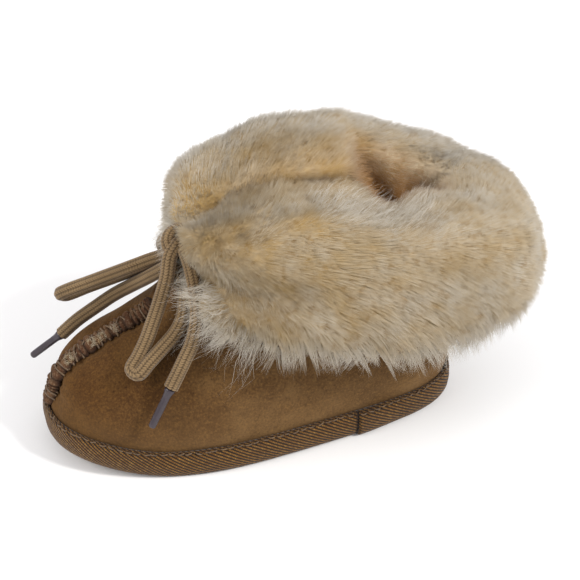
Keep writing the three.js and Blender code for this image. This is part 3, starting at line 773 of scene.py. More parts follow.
# The dye is redder over the toe, which also darkens with painted shade where it turns away from the light,
# and it has faded to a dustier tan low down on the sides
axes = add_node(tree, "ShaderNodeSeparateXYZ", {0: place}, gives="all")
toe_dye_and_shade = add_node(tree, "ShaderNodeMapRange", {0: axes[0], 1: 12 * MM, 2: 58 * MM})
colour = add_node(
    tree, "ShaderNodeMix", {0: toe_dye_and_shade, 6: colour, 7: "#d6c298"}, data_type="RGBA", blend_type="MULTIPLY"
)
colour = lay_colours(tree, colour, [(axes[2], 27 * MM, 12 * MM, 0.14, "#8a6d49")])
give_surface(tree, colour, {
    "Roughness": 0.95, "Specular IOR Level": 0.12, "Sheen Weight": 0.25, "Sheen Roughness": 0.6,
    "Sheen Tint": "#b8946a",
}, (0.5, 0.25, nap))

upper_levels = np.arange(0, FOLD + LEVEL_STEP / 2, LEVEL_STEP)
level, angle = np.meshgrid(upper_levels, full_turn(UPPER_ANGLES), indexing="ij")
moulded = upper_point(level, angle)
out = upper_out(level, angle)
relief = suede_relief(level, np.where(angle > np.pi, angle - 2 * np.pi, angle), moulded)
outside = moulded + out * relief[..., None]
inside = (moulded - out * SKIN)[::INNER_STEP]
inside[0, :, 2] = outside[0, :, 2]
wall = np.concatenate([outside, inside[::-1]], axis=0)
faces = grid_faces(*wall.shape[:2], close_rows=True, close_columns=True)
upper = shaped("suede_upper", wall.reshape(-1, 3), faces, suede)


def cut_away(piece, points, faces):
    """Takes a closed shape out of a piece."""
    cutter = new_object("cutter", points, faces)
    boolean = piece.modifiers.new("cut", "BOOLEAN")
    boolean.operation = "DIFFERENCE"
    boolean.solver = "EXACT"
    boolean.object = cutter
    made_plain(piece)
    bpy.data.objects.remove(cutter)


# The throat's slit in its own plane, and the lace holes that are punched each side of it
THROAT = [[-1, 46.4], [1, 46.4], [7, 61], [7, 78], [-7, 78], [-7, 61]]
HOLE_OFF, HOLE_HIGH, HOLE_RADIUS, HOLE_SIDES = 10.4, 56, 3.1, 20
THROAT_CUT, HOLE_CUT = (8, 45), (8, 32)
cut_away(upper, *capped_rings(np.array([[[x, y, z] for y, z in THROAT] for x in THROAT_CUT])))
for side in (1, -1):
    hole = np.array([[x, side * HOLE_OFF, HOLE_HIGH] for x in HOLE_CUT])
    cut_away(upper, *capped_tube(hole, np.full((2, HOLE_SIDES), HOLE_RADIUS)))
put_on(upper)
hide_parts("upper")


# Toe seam
# The edges of both halves stand up together in a ridge from the toe to the throat. Thread is whipped over
# them, and the skin swells between its turns. Tufts of the wool inside are caught in it.
SEAM_FROM, SEAM_TO, SEAM_STEPS = 1.15, 6.3, 320
SEAM_HEIGHT = 2.4
SEAM_WIDTH = 6.0
WHIP_PITCH, WHIP_RADIUS = 1.9, 0.3
WHIP_UNEVEN, WHIP_ROUND, WHIP_SKEW, WHIP_SUNK = 0.8, 0.7, 0.3, 0.5
LEAN, LEAN_LONG, LEAN_UNEVEN = 0.35, 3.3, 0.5
# How much of the ridge's width and height is steady, swells between the thread's turns, and is uneven
RIDGE_WIDE, RIDGE_HIGH = (0.8, 0.26, 0.15), (0.72, 0.32, 0.2)
LUMP_LEAST, LUMP_MOST = 0.45, 1.2
RIDGE_COLUMNS = 33
# The ridge's section: across, and up, each as a share of its half width and height. The skins' edges part a
# little on top.
RIDGE = np.array([
    [1.05, -0.25], [1.06, 0.1], [0.98, 0.45], [0.82, 0.75], [0.56, 0.97], [0.3, 1.0], [0.12, 0.86], [0, 0.7],
    [-0.12, 0.86], [-0.3, 1.0], [-0.56, 0.97], [-0.82, 0.75], [-0.98, 0.45], [-1.06, 0.1], [-1.05, -0.25],
])

seam_levels = np.linspace(SEAM_FROM, SEAM_TO, SEAM_STEPS)
seam_base = upper_point(seam_levels, np.zeros(SEAM_STEPS))
seam_up = upper_out(seam_levels, np.zeros(SEAM_STEPS))
seam_run = travelled(seam_base)
uneven = np.array([noise.noise(Vector((s / 4, 0.3, 0.7))) for s in seam_run])
whip_place = seam_run / WHIP_PITCH + WHIP_UNEVEN * uneven
whip_swell = np.abs(np.sin(np.pi * whip_place)) ** WHIP_ROUND
lump = np.random.default_rng(9).uniform(LUMP_LEAST, LUMP_MOST, 100)[np.floor(whip_place + 2).astype(int)]
ridge_across, ridge_up = between_rows(RIDGE, np.linspace(0, len(RIDGE) - 1, RIDGE_COLUMNS)).T
half, high = (
    size * (steady + swelling * lump * whip_swell + ragged * uneven)
    for size, (steady, swelling, ragged) in ((SEAM_WIDTH / 2, RIDGE_WIDE), (SEAM_HEIGHT, RIDGE_HIGH))
)
lean = LEAN * np.sin(seam_run / LEAN_LONG) + LEAN_UNEVEN * uneven
ridge = seam_base[:, None] + seam_up[:, None] * (high[:, None] * ridge_up)[..., None]
ridge[..., 1] += half[:, None] * ridge_across + lean[:, None] * np.clip(ridge_up, 0, 1)


def turned_over(faces):
    return [face[::-1] for face in faces]


# Cut skin: the raw edge of the hide, redder than the suede, with painted shade in the hollows under the
# thread and low down the ridge's sides
seam_skin, tree, _, patch, fuzz, swelling = new_material(
    "raw_skin_edge", [(5, 4, 0.5, 0), (0.6, 3, 0.5, 0)], ["swell"]
)
skin_tone = lay_colours(tree, "#472a14", [(patch, 0.4, 0.65, 1, "#5f442b"), (fuzz, 0.5, 0.8, 0.6, "#957d62")])
colour = lay_colours(tree, "#24150b", [(swelling, *WHOLE, skin_tone)])
give_surface(tree, colour, {"Roughness": 0.8, "Specular IOR Level": 0.25}, (0.6, 0.3, fuzz))

# Painted shade: darker where the thread draws the ridge in, and low down its sides
hollow_shade_mark = np.clip(0.15 + 0.85 * whip_swell[:, None] * smooth_step(ridge_up, -0.1, 0.6), 0, 1)
points, faces = capped_rings(ridge)
seam_ridge = make_piece(
    "seam_ridge", points, turned_over(faces), seam_skin, {"swell": hollow_shade_mark}
)
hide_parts("toe_seam")

whip_stops = np.arange(1, math.floor(whip_place[-1]))
whip_index = np.searchsorted(whip_place, whip_stops)
whip_stitch = smooth_run([
    [0.75, 3.5, -0.1], [0.6, 2.8, 0.75], [0.4, 2.1, 1.65], [0.15, 0.9, 2.3], [-0.1, -0.5, 2.35],
    [-0.35, -1.8, 1.85], [-0.55, -2.7, 0.8], [-0.7, -3.4, -0.1],
], 0.55)
whip_skew = scatter.normal(0, WHIP_SKEW, (len(whip_stops), 3))
whip_sunk = scatter.uniform(0, WHIP_SUNK, (len(whip_stops), 1))
sew_row(
    "seam_whip_stitches", seam_base[whip_index] - seam_up[whip_index] * whip_sunk,
    unit(unit(np.gradient(seam_base, axis=0))[whip_index] + whip_skew), seam_up[whip_index],
    whip_stitch, WHIP_RADIUS,
)


# Insole and lining
# The wool side of the skin lines the upper, clipped short, and a loose pad of the same wool lies on the sole.
# Both are soft and springy, and they show only through the mouth of the cuff.
LINING_FROM, LINING_TO, LINING_ROWS = 0.8, 6.6, 44
LINING_THICK, LINING_GAP = 3.4, 0.1
INSOLE_LUMPS, LINING_LUMPS = 0.4, 0.9
WOOL_ANGLES = 120
# Inset and height of the pad's rings, from its flat underside over its rounded rim to its middle
INSOLE_RINGS = [[4.4, 3.4], [4.2, 4.6], [4.4, 6.1], [5.4, 7.0], [8, 7.4], [13, 7.2], [18, 7.3]]


def lumps(points, size, seed):
    """Even, soft bumps from about -1 to 1 over a piece, of about the size given."""
    flat = np.asarray(points, float).reshape(-1, 3) / size + seed
    values = [noise.noise(Vector(p)) for p in flat.tolist()]
    return np.array(values).reshape(np.asarray(points).shape[:-1])


# Clipped wool: a dense cream pile, browner down between its tufts
clipped_wool, tree, _, tuft, strand = new_material("clipped_wool_lining", [(3, 5, 0.7, 0), (0.5, 2, 0.5, 0)])
colour = lay_colours(tree, "#8a6a42", [(tuft, 0.35, 0.65, 1, "#d2bf9c")])
fluff = add_node(tree, "ShaderNodeMath", {0: tuft, 1: strand}, operation="ADD")
give_surface(
    tree, colour, {"Roughness": 1.0, "Specular IOR Level": 0.05, "Sheen Weight": 0.3}, (0.8, 0.8, fluff)
)

wool_turns = full_turn(WOOL_ANGLES)
insole_rings = []
for inset, z in INSOLE_RINGS:
    ring = outline_point(wool_turns, inset, z)
    ring[:, 2] += INSOLE_LUMPS * lumps(ring, size=5, seed=3.7) * smooth_step(z, 4, 7)
    insole_rings.append(ring)
points, faces = stacked_plate(insole_rings)
insole = make_piece("wool_insole", points, faces, clipped_wool)
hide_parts("insole")

lining_levels = np.linspace(LINING_FROM, LINING_TO, LINING_ROWS)
level, angle = np.meshgrid(lining_levels, wool_turns, indexing="ij")
skin_face = upper_point(level, angle)
inward = -upper_out(level, angle)
wool_deep = LINING_THICK + LINING_LUMPS * lumps(skin_face, size=4, seed=8.1)
wool_face = skin_face + inward * (SKIN + wool_deep)[..., None]
wool_back = (skin_face + inward * (SKIN + LINING_GAP))[::INNER_STEP]
shell = np.concatenate([wool_face, wool_back[::-1]], axis=0)
faces = turned_over(grid_faces(*shell.shape[:2], close_rows=True, close_columns=True))
make_piece("wool_lining", shell.reshape(-1, 3), faces, clipped_wool)


# Wool cuff
# The top of the skin is turned down, wool side out, round the ankle. The pile is long and combed: it stands
# straight out of the skin, hangs in locks over the hem, and folds over the crest into the mouth.
CUFF_GAP = 0.45
HEM_FRONT, HEM_BACK = 6.1, 3.4
PILE_FRONT, PILE_SIDE, PILE_BACK, PILE_INSIDE_THICK = 13.5, 19, 27, 12.5
UNDERCOAT = 0.95
FRONT_TOP_X, FRONT_HEM_X = 20.5, 14.5
FRONT_ROUND, FRONT_CLOSE, FRONT_HOLD = 0.03, 0.55, 0.92
FRONT_FULL, FRONT_LEAST, SIDE_FULL, BACK_START = 0.13, 0.004, 0.45, 0.75
FRONT_PLUG, PLUG_FROM, PLUG_TO = 7, 0.28, 0.32
HEEL_INSIDE = 8.5
SETTLING = 10
# Its lumps: how high, how large, and their seed
CUFF_LUMPS = ((1.5, 12, 2.3), (0.4, 5, 5.9))
CUFF_ROWS = 230
OUTSIDE_COLUMNS = 44
INSIDE_COLUMNS = 22

# Swellings and hollows, each as how much, where, and half width. Round the cuff, in shares from its left
# front edge (0) over the heel to its right front edge (1):
CREST_DIP, BACK_DIP, FAR_RISE = (0.5, 0.295, 0.055), (0.14, 0.38, 0.1), (0.17, 0.78, 0.1)
OVER_LACE, KNOT_HOLLOW = (2.6, 0.03, 0.06), (4.0, 0.0, 0.055)
NOTCH_BLEACH = (0.6, 0.31, 0.06)
# In shares from either front edge:
FRONT_LIFT, MIDDLE_PLUG, MOUTH_GAP = (0.4, 0.08, 0.06), (7, 0.265, 0.06), (5, 0.33, 0.03)
# Up the profile, from the hem (0) over the crest (1) down into the mouth (2):
HEEL_FULLER, HEEL_TRIM = (1.0, 0.75, 0.2), (5.0, 0.2, 0.16)
LACE_BAND, KNOT_BAND, CREST_BAND = (1, 0.4, 0.3), (1, 0.7, 0.14), (0.8, 1.1, 0.16)
FAR_BLEACH, NOTCH_BAND = (0.8, 0.9, 0.16), (1, 0.98, 0.1)
# Changes, each as where it starts and is full: towards the heel, then from either front edge
HEEL_SHAPED, HEEL_OPEN = (0.7, 1), (0.86, 1)
FRONT_HELD, FRONT_COMBED, SIDE_COMBED = (0.02, 0.2), (0, 0.1), (0.05, 0.2)
EDGE_SHADED, EDGE_THINNED = (-0.01, 0.03), (-0.01, 0.05)

# The pile's outside from its hem to its crest: how far below the fold as a share of the cuff's drop, how many
# levels above the fold, and how far out as a share of the pile
PILE_OUTSIDE = np.array([
    [0.97, 0, 0.2], [0.95, 0, 0.5], [0.84, 0, 0.78], [0.58, 0, 0.97], [0.34, 0, 1], [0.08, 0, 0.93],
    [0, 0.4, 0.8], [0, 0.85, 0.54], [0, 1.12, 0.22],
])
# The inside from the crest down: levels above the fold, how far in as a share of the inner pile, and how many
# levels higher it is at the front, where the wool of both sides meets
PILE_INSIDE = np.array([
    [1.12, 0.2, 0], [0.9, 0.66, 0.28], [0.45, 0.95, 0.68], [-0.3, 0.95, 1.15], [-1.1, 0.7, 0.7],
    [-1.6, 0.35, 0],
])


def cuff_angle(level, share):
    """The angle on the upper, from the cuff's left front edge round the heel to its right front edge.

    The edges part under the knot and close over it.
    """
    ring = ring_at(level)
    front_x = FRONT_HEM_X + (FRONT_TOP_X - FRONT_HEM_X) * smooth_step(level, HEM_FRONT, FOLD)
    along = (front_x - ring["heel_x"]) / (ring["toe_x"] - ring["heel_x"])
    edge = np.arccos(np.clip(signed_power(2 * along - 1, ring["blunt"] / 2), -1, 1))
    edge = edge - FRONT_CLOSE * smooth_step(level, FOLD - 0.3, FOLD + 0.6)
    return edge + (2 * np.pi - 2 * edge) * share


def cuff_point(level, share, out):
    angle = cuff_angle(level, share)
    return upper_point(level, angle) + upper_out(level, angle) * out[..., None]


cuff_shares = np.linspace(-FRONT_ROUND, 1 + FRONT_ROUND, CUFF_ROWS)[:, None]
back_share = np.sin(np.pi * np.clip(cuff_shares, 0, 1))
front_edge = np.minimum(cuff_shares, 1 - cuff_shares)
rounded = np.sqrt(np.clip((front_edge + FRONT_ROUND) / (FRONT_FULL + FRONT_ROUND), FRONT_LEAST, 1))
pile = rounded * np.where(
    back_share < BACK_START,
    PILE_FRONT + (PILE_SIDE - PILE_FRONT) * smooth_step(back_share, 0, SIDE_FULL),
    PILE_SIDE + (PILE_BACK - PILE_SIDE) * smooth_step(back_share, BACK_START, 1),
)
cuff_drop = FOLD - (HEM_FRONT + (HEM_BACK - HEM_FRONT) * back_share)
dip = hump(cuff_shares, *CREST_DIP) + hump(cuff_shares, *BACK_DIP)
crest = np.sqrt(rounded) * (1 - dip + hump(cuff_shares, *FAR_RISE))

# The outside, fuller at the heel's top and over the lace, hollow beside the knot, and held in at the front
outside_place = np.linspace(0, 1, OUTSIDE_COLUMNS)
below, above, out = between_rows(PILE_OUTSIDE, (len(PILE_OUTSIDE) - 1) * outside_place).T
outside_level = FOLD - cuff_drop * below + above * crest
heel_shape = hump(outside_place, *HEEL_FULLER) - hump(outside_place, *HEEL_TRIM)
outside_out = out * pile * UNDERCOAT + heel_shape * smooth_step(back_share, *HEEL_SHAPED)
outside_out = outside_out + hump(cuff_shares, *OVER_LACE) * hump(outside_place, *LACE_BAND)
outside_out = outside_out - hump(cuff_shares, *KNOT_HOLLOW) * hump(outside_place, *KNOT_BAND)
at_front = 1 - smooth_step(front_edge, *FRONT_HELD)
outside_out = outside_out * (1 - FRONT_HOLD * at_front * smooth_step(outside_level, FOLD - 1.0, FOLD + 0.5))

# The inside: the wool of both sides fills the front of the mouth, and the heel keeps it open
above, out, front_lift = between_rows(PILE_INSIDE, np.linspace(0, len(PILE_INSIDE) - 1, INSIDE_COLUMNS)).T
plugged = np.sqrt(rounded) * (1 - smooth_step(front_edge, PLUG_FROM, PLUG_TO))
lifted = plugged * (1 + hump(front_edge, *FRONT_LIFT))
inside_level = FOLD + above * np.where(above > 0, crest, 1) + front_lift * lifted
past_crest = smooth_step(out, 0.2, 0.6) * (above < 1.1)
plug = FRONT_PLUG + hump(front_edge, *MIDDLE_PLUG)
inner_pile = PILE_INSIDE_THICK * UNDERCOAT * rounded + plug * plugged - hump(front_edge, *MOUTH_GAP)
inner_pile = inner_pile - HEEL_INSIDE * smooth_step(back_share, *HEEL_OPEN)
inside_out = -(SKIN + CUFF_GAP) * past_crest - out * inner_pile

# The side that lies on the skin, from the mouth over the fold down to the hem
skin_level = np.concatenate([
    np.broadcast_to(FOLD + np.array([-1.6, -0.8, 0, 0.05, 0.05]), (CUFF_ROWS, 5)),
    FOLD - cuff_drop * np.linspace(0, 1, 7),
], axis=1)
skin_out = np.array([-SKIN - CUFF_GAP] * 4 + [CUFF_GAP] * 8)
skin_points = cuff_point(skin_level, cuff_shares, skin_out)
pile_points = cuff_point(
    np.concatenate([outside_level, inside_level], axis=1), cuff_shares,
    np.concatenate([outside_out, inside_out], axis=1),
)

# Over the crest the wool of both sides settles into one even surface
profile_place = np.concatenate([outside_place, np.linspace(1.02, 2, INSIDE_COLUMNS)])
settled = hump(profile_place, *CREST_BAND)[1:-1, None]
for _ in range(SETTLING):
    middle = pile_points[1:-1, 1:-1]
    around = pile_points[:-2, 1:-1] + pile_points[2:, 1:-1] + pile_points[1:-1, :-2] + pile_points[1:-1, 2:]
    pile_points[1:-1, 1:-1] = middle + (around / 4 - middle) * settled

up_profile = unit(np.gradient(pile_points, axis=1))
round_cuff = unit(np.gradient(pile_points, axis=0))
pile_normal = unit(np.cross(round_cuff, up_profile))
swelling = sum(high * lumps(pile_points, size, seed) for high, size, seed in CUFF_LUMPS)
fading = np.append(np.ones(OUTSIDE_COLUMNS), np.linspace(0.9, 0.1, INSIDE_COLUMNS))
pile_points = pile_points + pile_normal * (swelling * rounded * fading)[..., None]

# Long wool: fine, matt fibres. Roots are tan, tips are bleached cream to grey-white, yellow-tan patches run
# through it, and it is browned down in the mouth. It takes painted shade between the locks.
long_wool, tree, place, yellowed, fine, along, tone, lot, deep, shade = new_material(
    "combed_sheep_wool", [(13, 5, 0.62, 0), (2.6, 3, 0.5, 0)], ["along", "tone", "lot", "deep", "shade"]
)
patch = add_node(tree, "ShaderNodeMapRange", {0: yellowed, 1: 0.4, 2: 0.62})
foot = add_node(tree, "ShaderNodeSeparateXYZ", {0: place})
toward_toe = add_node(tree, "ShaderNodeMapRange", {0: foot, 1: -85 * MM, 2: -20 * MM})
yellow = add_node(tree, "ShaderNodeMix", {0: 0.5, 2: patch, 3: toward_toe})
tip = lay_colours(tree, "#b0a899", [
    (yellow, *WHOLE, "#a08659"), (tone, *WHOLE, "#cac3b7"), (lot, *WHOLE, "#cabfaa"),
])
root = lay_colours(tree, "#c2af91", [(yellow, *WHOLE, "#af9260"), (tone, *WHOLE, "#b3a690")])
# Painted shade is laid last, where the shade mark says
colour = lay_colours(tree, root, [
    (along, 0, 0.8, 1, tip), (deep, *WHOLE, "#a0681c"), (fine, 0.56, 0.72, 0.6, "#8f6f3c"),
    (shade, *WHOLE, "#33241a"),
])
give_surface(tree, colour, {"Roughness": 0.9, "Specular IOR Level": 0.1, "Sheen Weight": 0.1})

# The undercoat: the dense soft wool under the strands, from the pile's outside to the skin
saddle = np.concatenate([pile_points, skin_points], axis=1)
columns = np.arange(saddle.shape[1])
down_inside = smooth_step(np.linspace(1, 2, INSIDE_COLUMNS), 1.25, 1.7)
undercoat_deep = np.concatenate([np.zeros(OUTSIDE_COLUMNS), down_inside, np.ones(skin_out.size)])
undercoat_deep = undercoat_deep * (1 - plugged * (columns >= OUTSIDE_COLUMNS))
# Between the locks of the hem and of the front edges, and where it lies on the skin, it is given painted
# shade
HEM_COLUMNS, SKIN_COLUMNS, EDGE_COLUMNS = (9, 17), (67, 69), 34
hem_shade = 1 - smooth_step(columns, *HEM_COLUMNS) + smooth_step(columns, *SKIN_COLUMNS)
edge_shade = (1 - smooth_step(front_edge, *EDGE_SHADED)) * (columns < EDGE_COLUMNS)
points, faces = capped_rings(saddle)
undercoat = make_piece("wool_undercoat", points, turned_over(faces), long_wool, {
    "along": np.full(len(points), 0.3), "deep": undercoat_deep,
    "shade": np.clip(hem_shade + edge_shade, 0, 1),
})
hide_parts("fur_cuff")

# A tree that grows tapered strands out of a skin and draws them together into locks towards their tips.
# The skin's own marks say how long they are, which way they are combed, how tightly they lock and how dense
# they are.
BEND, CURL_SIZE, LOCK_SEED_STEP = 1.6, 2.2, 31
wool_tree, entry = new_tree("wool_strands", {
    "Skin": "Geometry", "Strands per area": "Float", "Locks per area": "Float", "Strand radius": "Float",
    "Strand joints": "Int", "Curl": "Float", "Seed": "Int", "Wool": "Material",
})
known = {socket.name: socket for socket in entry}
known["here"] = add_node(wool_tree, "GeometryNodeInputPosition")
for kind, names in (
    ("FLOAT", ("cover", "pile", "clump", "along")),
    ("FLOAT_VECTOR", ("comb", "root", "lift", "gather", "side")),
):
    for mark in names:
        known[mark] = add_node(wool_tree, "GeometryNodeInputNamedAttribute", {"Name": mark}, data_type=kind)
for name, kind, operation, first, second in (
    # each result, the kind of node, what it does, and its two inputs
    ("density", "Math", "MULTIPLY", "Strands per area", "cover"),
    ("lock seed", "Math", "ADD", "Seed", LOCK_SEED_STEP),
    ("bent", "Math", "POWER", "along", BEND),
    ("reach", "Math", "MULTIPLY", "pile", "along"),
    ("over", "Math", "MULTIPLY", "pile", "bent"),
    ("drawn", "Math", "MULTIPLY", "clump", "bent"),
    ("curled", "Math", "MULTIPLY", "reach", "Curl"),
    ("risen", "VectorMath", "SCALE", "lift", "reach"),
    ("upright", "VectorMath", "ADD", "root", "risen"),
    ("level", "VectorMath", "CROSS_PRODUCT", "lift", (0.36, 0.48, 0.8)),
    ("second", "VectorMath", "NORMALIZE", "level", (0, 0, 0)),
    ("third", "VectorMath", "CROSS_PRODUCT", "lift", "second"),
    ("wide", "VectorMath", "SCALE", "side", "Strand radius"),
):
    inputs = {0: known[first], "Scale" if operation == "SCALE" else 1: known.get(second, second)}
    known[name] = add_node(wool_tree, f"ShaderNode{kind}", inputs, operation=operation)

# Roots, and the middles of the locks that they belong to
roots = add_node(wool_tree, "GeometryNodeDistributePointsOnFaces", {
    "Mesh": entry["Skin"], "Density": known["density"], "Seed": entry["Seed"],
}, gives="all")
locks = add_node(wool_tree, "GeometryNodeDistributePointsOnFaces", {
    "Mesh": entry["Skin"], "Density": entry["Locks per area"], "Seed": known["lock seed"],
})
nearest = add_node(wool_tree, "GeometryNodeSampleNearest", {"Geometry": locks})
lock_middle = add_node(wool_tree, "GeometryNodeSampleIndex", {
    "Geometry": locks, "Value": known["here"], "Index": nearest,
}, data_type="FLOAT_VECTOR")
gather = add_node(wool_tree, "ShaderNodeVectorMath", {0: lock_middle, 1: known["here"]}, operation="SUBTRACT")
length = add_node(wool_tree, "FunctionNodeRandomValue", {2: 0.65, 3: 1.3, "ID": nearest, "Seed": 4})
own_length = add_node(wool_tree, "FunctionNodeRandomValue", {2: 0.65, 3: 1.2, "Seed": 5})
for factor in (own_length, known["pile"]):
    length = add_node(wool_tree, "ShaderNodeMath", {0: length, 1: factor}, operation="MULTIPLY")
lock_lot = add_node(wool_tree, "FunctionNodeRandomValue", {2: 0.0, 3: 0.7, "ID": nearest, "Seed": 8})
lot = add_node(wool_tree, "FunctionNodeRandomValue", {2: 0.0, 3: lock_lot, "Seed": 6})

# One strand, of length and radius 1, standing up
strand = add_node(wool_tree, "GeometryNodeMeshCone", {
    "Vertices": 3, "Side Segments": entry["Strand joints"], "Radius Top": 0.0, "Radius Bottom": 1.0,
    "Depth": 1.0,
}, fill_type="NGON")
axes = add_node(wool_tree, "ShaderNodeSeparateXYZ", {0: known["here"]}, gives="all")
across = add_node(wool_tree, "ShaderNodeCombineXYZ", {0: axes[0], 1: axes[1]})
stored = {"roots": roots["Points"], "strand": strand}
for shape, mark, value, kind in (
    ("roots", "root", known["here"], "FLOAT_VECTOR"), ("roots", "lift", roots["Normal"], "FLOAT_VECTOR"),
    ("roots", "gather", gather, "FLOAT_VECTOR"), ("roots", "pile", length, "FLOAT"),
    ("roots", "lot", lot, "FLOAT"), ("strand", "along", axes[2], "FLOAT"),
    ("strand", "side", across, "FLOAT_VECTOR"),
):
    stored[shape] = add_node(wool_tree, "GeometryNodeStoreNamedAttribute", {
        "Geometry": stored[shape], "Name": mark, "Value": value,
    }, data_type=kind)
standing = add_node(
    wool_tree, "GeometryNodeInstanceOnPoints", {"Points": stored["roots"], "Instance": stored["strand"]}
)
standing = add_node(wool_tree, "GeometryNodeRealizeInstances", {"Geometry": standing})

# Where each point of a strand goes: straight out, over with the comb, in towards its lock, off with its curl
wave = add_node(wool_tree, "ShaderNodeTexNoise", {
    "Vector": known["upright"], "Scale": 1 / (CURL_SIZE * MM), "Detail": 1,
}, gives="Color")
wave = add_node(wool_tree, "ShaderNodeVectorMath", {0: wave, 1: (0.5, 0.5, 0.5)}, operation="SUBTRACT")
wide = add_node(wool_tree, "ShaderNodeSeparateXYZ", {0: known["wide"]}, gives="all")
moved = known["upright"]
for direction, distance in (
    (known["comb"], known["over"]), (known["gather"], known["drawn"]), (wave, known["curled"]),
    (known["second"], wide[0]), (known["third"], wide[1]),
):
    step = add_node(wool_tree, "ShaderNodeVectorMath", {0: direction, "Scale": distance}, operation="SCALE")
    moved = add_node(wool_tree, "ShaderNodeVectorMath", {0: moved, 1: step}, operation="ADD")
standing = add_node(wool_tree, "GeometryNodeSetPosition", {"Geometry": standing, "Position": moved})
standing = add_node(wool_tree, "GeometryNodeSetMaterial", {"Geometry": standing, "Material": entry["Wool"]})
add_node(wool_tree, "NodeGroupOutput", {0: standing})


def grow_wool(name, skin, marks, strands, locks, radius, joints, curl, seed):
    """Wool standing on a grid of skin. Strands and locks are counts in a square millimetre of it."""
    faces = turned_over(grid_faces(*skin.shape[:2]))
    wool = shaped(name, skin.reshape(-1, 3), faces, long_wool, marks)
    made = grow(wool, wool_tree, {
        "Strands per area": strands / MM ** 2, "Locks per area": locks / MM ** 2,
        "Strand radius": radius * MM, "Strand joints": joints, "Curl": curl, "Seed": seed, "Wool": long_wool,
    })
    # A dense pile is lit as one soft surface, so each strand takes the direction of the skin under it
    lift = np.empty(3 * len(made.vertices), np.float32)
    made.attributes["lift"].data.foreach_get("vector", lift)
    made.normals_split_custom_set_from_vertices(lift.reshape(-1, 3).tolist())
    drop_marks(made, ("cover", "pile", "clump", "comb", "root", "lift", "gather", "side", "id"))
    put_on(wool)


# How the pile changes from the hem (0) over the crest (1) down into the mouth (2)
PILE_CHANGES = np.array([
    # place, comb up (+) or down (-), strand length, locking, cover, whiteness, depth in the mouth
    [0.00, -1.2, 10.5, 1.0, 1.0, 1.0, 0],
    [0.12, -1.1, 9.0, 1.0, 1.0, 1.0, 0],
    [0.26, -0.9, 6.0, 0.9, 1.0, 0.9, 0],
    [0.40, -0.7, 2.9, 0.25, 1.0, 0.25, 0],
    [0.70, -0.6, 2.2, 0.12, 1.05, 0.05, 0],
    [0.90, -0.4, 2.2, 0.12, 1.05, 0.1, 0],
    [1.00, 0.0, 2.4, 0.15, 1.05, 0.2, 0],
    [1.08, 0.2, 2.5, 0.2, 1.0, 0.15, 0.05],
    [1.25, 0.0, 2.6, 0.25, 0.9, 0.05, 0.35],
    [1.50, -0.4, 3.0, 0.35, 0.8, 0.0, 0.8],
    [2.00, -0.4, 3.5, 0.5, 0.4, 0.0, 1.0],
])
comb_up, strand_length, locking, cover, whiteness, deep = (
    np.interp(profile_place, PILE_CHANGES[:, 0], column) for column in PILE_CHANGES.T[1:]
)
# The pile is combed off the front edges, and from the sides towards the heel
forward = np.where(cuff_shares < 0.5, -1, 1) * (1 - smooth_step(front_edge, *FRONT_COMBED))
HEEL_PARTING = 26
heelward = np.tanh((0.5 - cuff_shares) * HEEL_PARTING) * smooth_step(front_edge, *SIDE_COMBED)
sideways = heelward * np.interp(profile_place, [0.2, 0.6, 1.6, 2], [0, 0.8, 0.8, 0.3])
sideways = sideways * (1.0 + 0.6 * lumps(pile_points, size=8, seed=4.4))
cuff_comb = up_profile * comb_up[None, :, None] + round_cuff * (0.7 * forward + sideways)[..., None]
bleached = smooth_step(cuff_shares, 0.46, 0.56) * hump(profile_place, *FAR_BLEACH)
bleached = bleached + hump(cuff_shares, *NOTCH_BLEACH) * hump(profile_place, *NOTCH_BAND)
tuft_tone = np.clip(whiteness + bleached + 0.5 * lumps(pile_points, size=7, seed=1.7), 0, 1)
# No strands grow where the wool of both sides is pressed together, few at the front edges and between locks
pressed = plugged * smooth_step(profile_place, np.where(cuff_shares < 0.5, 1.2, 1.5), 1.6)
thinned = (1 - smooth_step(front_edge, *EDGE_THINNED)) * (profile_place > 0.28) * (profile_place < 0.8)
in_locks = 1 - smooth_step(profile_place, 0.3, 0.42)
between_locks = smooth_step(lumps(pile_points, size=4.5, seed=8.8), -0.1, 0.15) * in_locks
strand_cover = cover * (1 - pressed) * (1 - 0.5 * thinned) * (1 - 0.85 * between_locks)
cuff_marks = {
    "clump": np.broadcast_to(locking, strand_cover.shape), "cover": strand_cover,
    "deep": deep * (1 - 0.75 * plugged), "pile": strand_length * (0.5 + 0.5 * rounded) * MM,
    "tone": tuft_tone, "comb": cuff_comb,
}

# The cuff is grown in runs from its left front edge round the heel to its right front edge: the hem's hanging
# locks, the short dense pile above them, and loose white hairs at the front edges and over the crest's notch
CUFF_RUNS = {
    # first and last share, first and last column, strands and locks per square millimetre, joints, curl, seed
    "wool_hem_left": (-FRONT_ROUND, 0.5, 0, 13, 3.2, 0.03, 3, 0.5, 11),
    "wool_hem_right": (0.5, 1 + FRONT_ROUND, 0, 13, 2.4, 0.035, 3, 0.5, 12),
    "wool_left_front": (-FRONT_ROUND, 0.22, 12, 66, 7.8, 0.2, 1, 0.4, 13),
    "wool_left_heel": (0.22, 0.46, 12, 66, 7.8, 0.2, 1, 0.4, 14),
    "wool_heel_right": (0.46, 0.7, 12, 66, 6.0, 0.2, 1, 0.4, 15),
    "wool_right_front": (0.7, 1 + FRONT_ROUND, 12, 66, 6.0, 0.2, 1, 0.4, 16),
    "wool_frizz_left": (-FRONT_ROUND, 0.06, 12, 42, 3.0, 0.3, 4, 1.5, 17),
    "wool_frizz_right": (0.95, 1 + FRONT_ROUND, 14, 42, 1.2, 0.3, 4, 1.5, 18),
    "wool_frizz_notch": (0.24, 0.345, 40, 46, 1.0, 0.3, 4, 1.2, 19),
}
STRAND_RADIUS, RUN_LAP = 0.078, 0.003
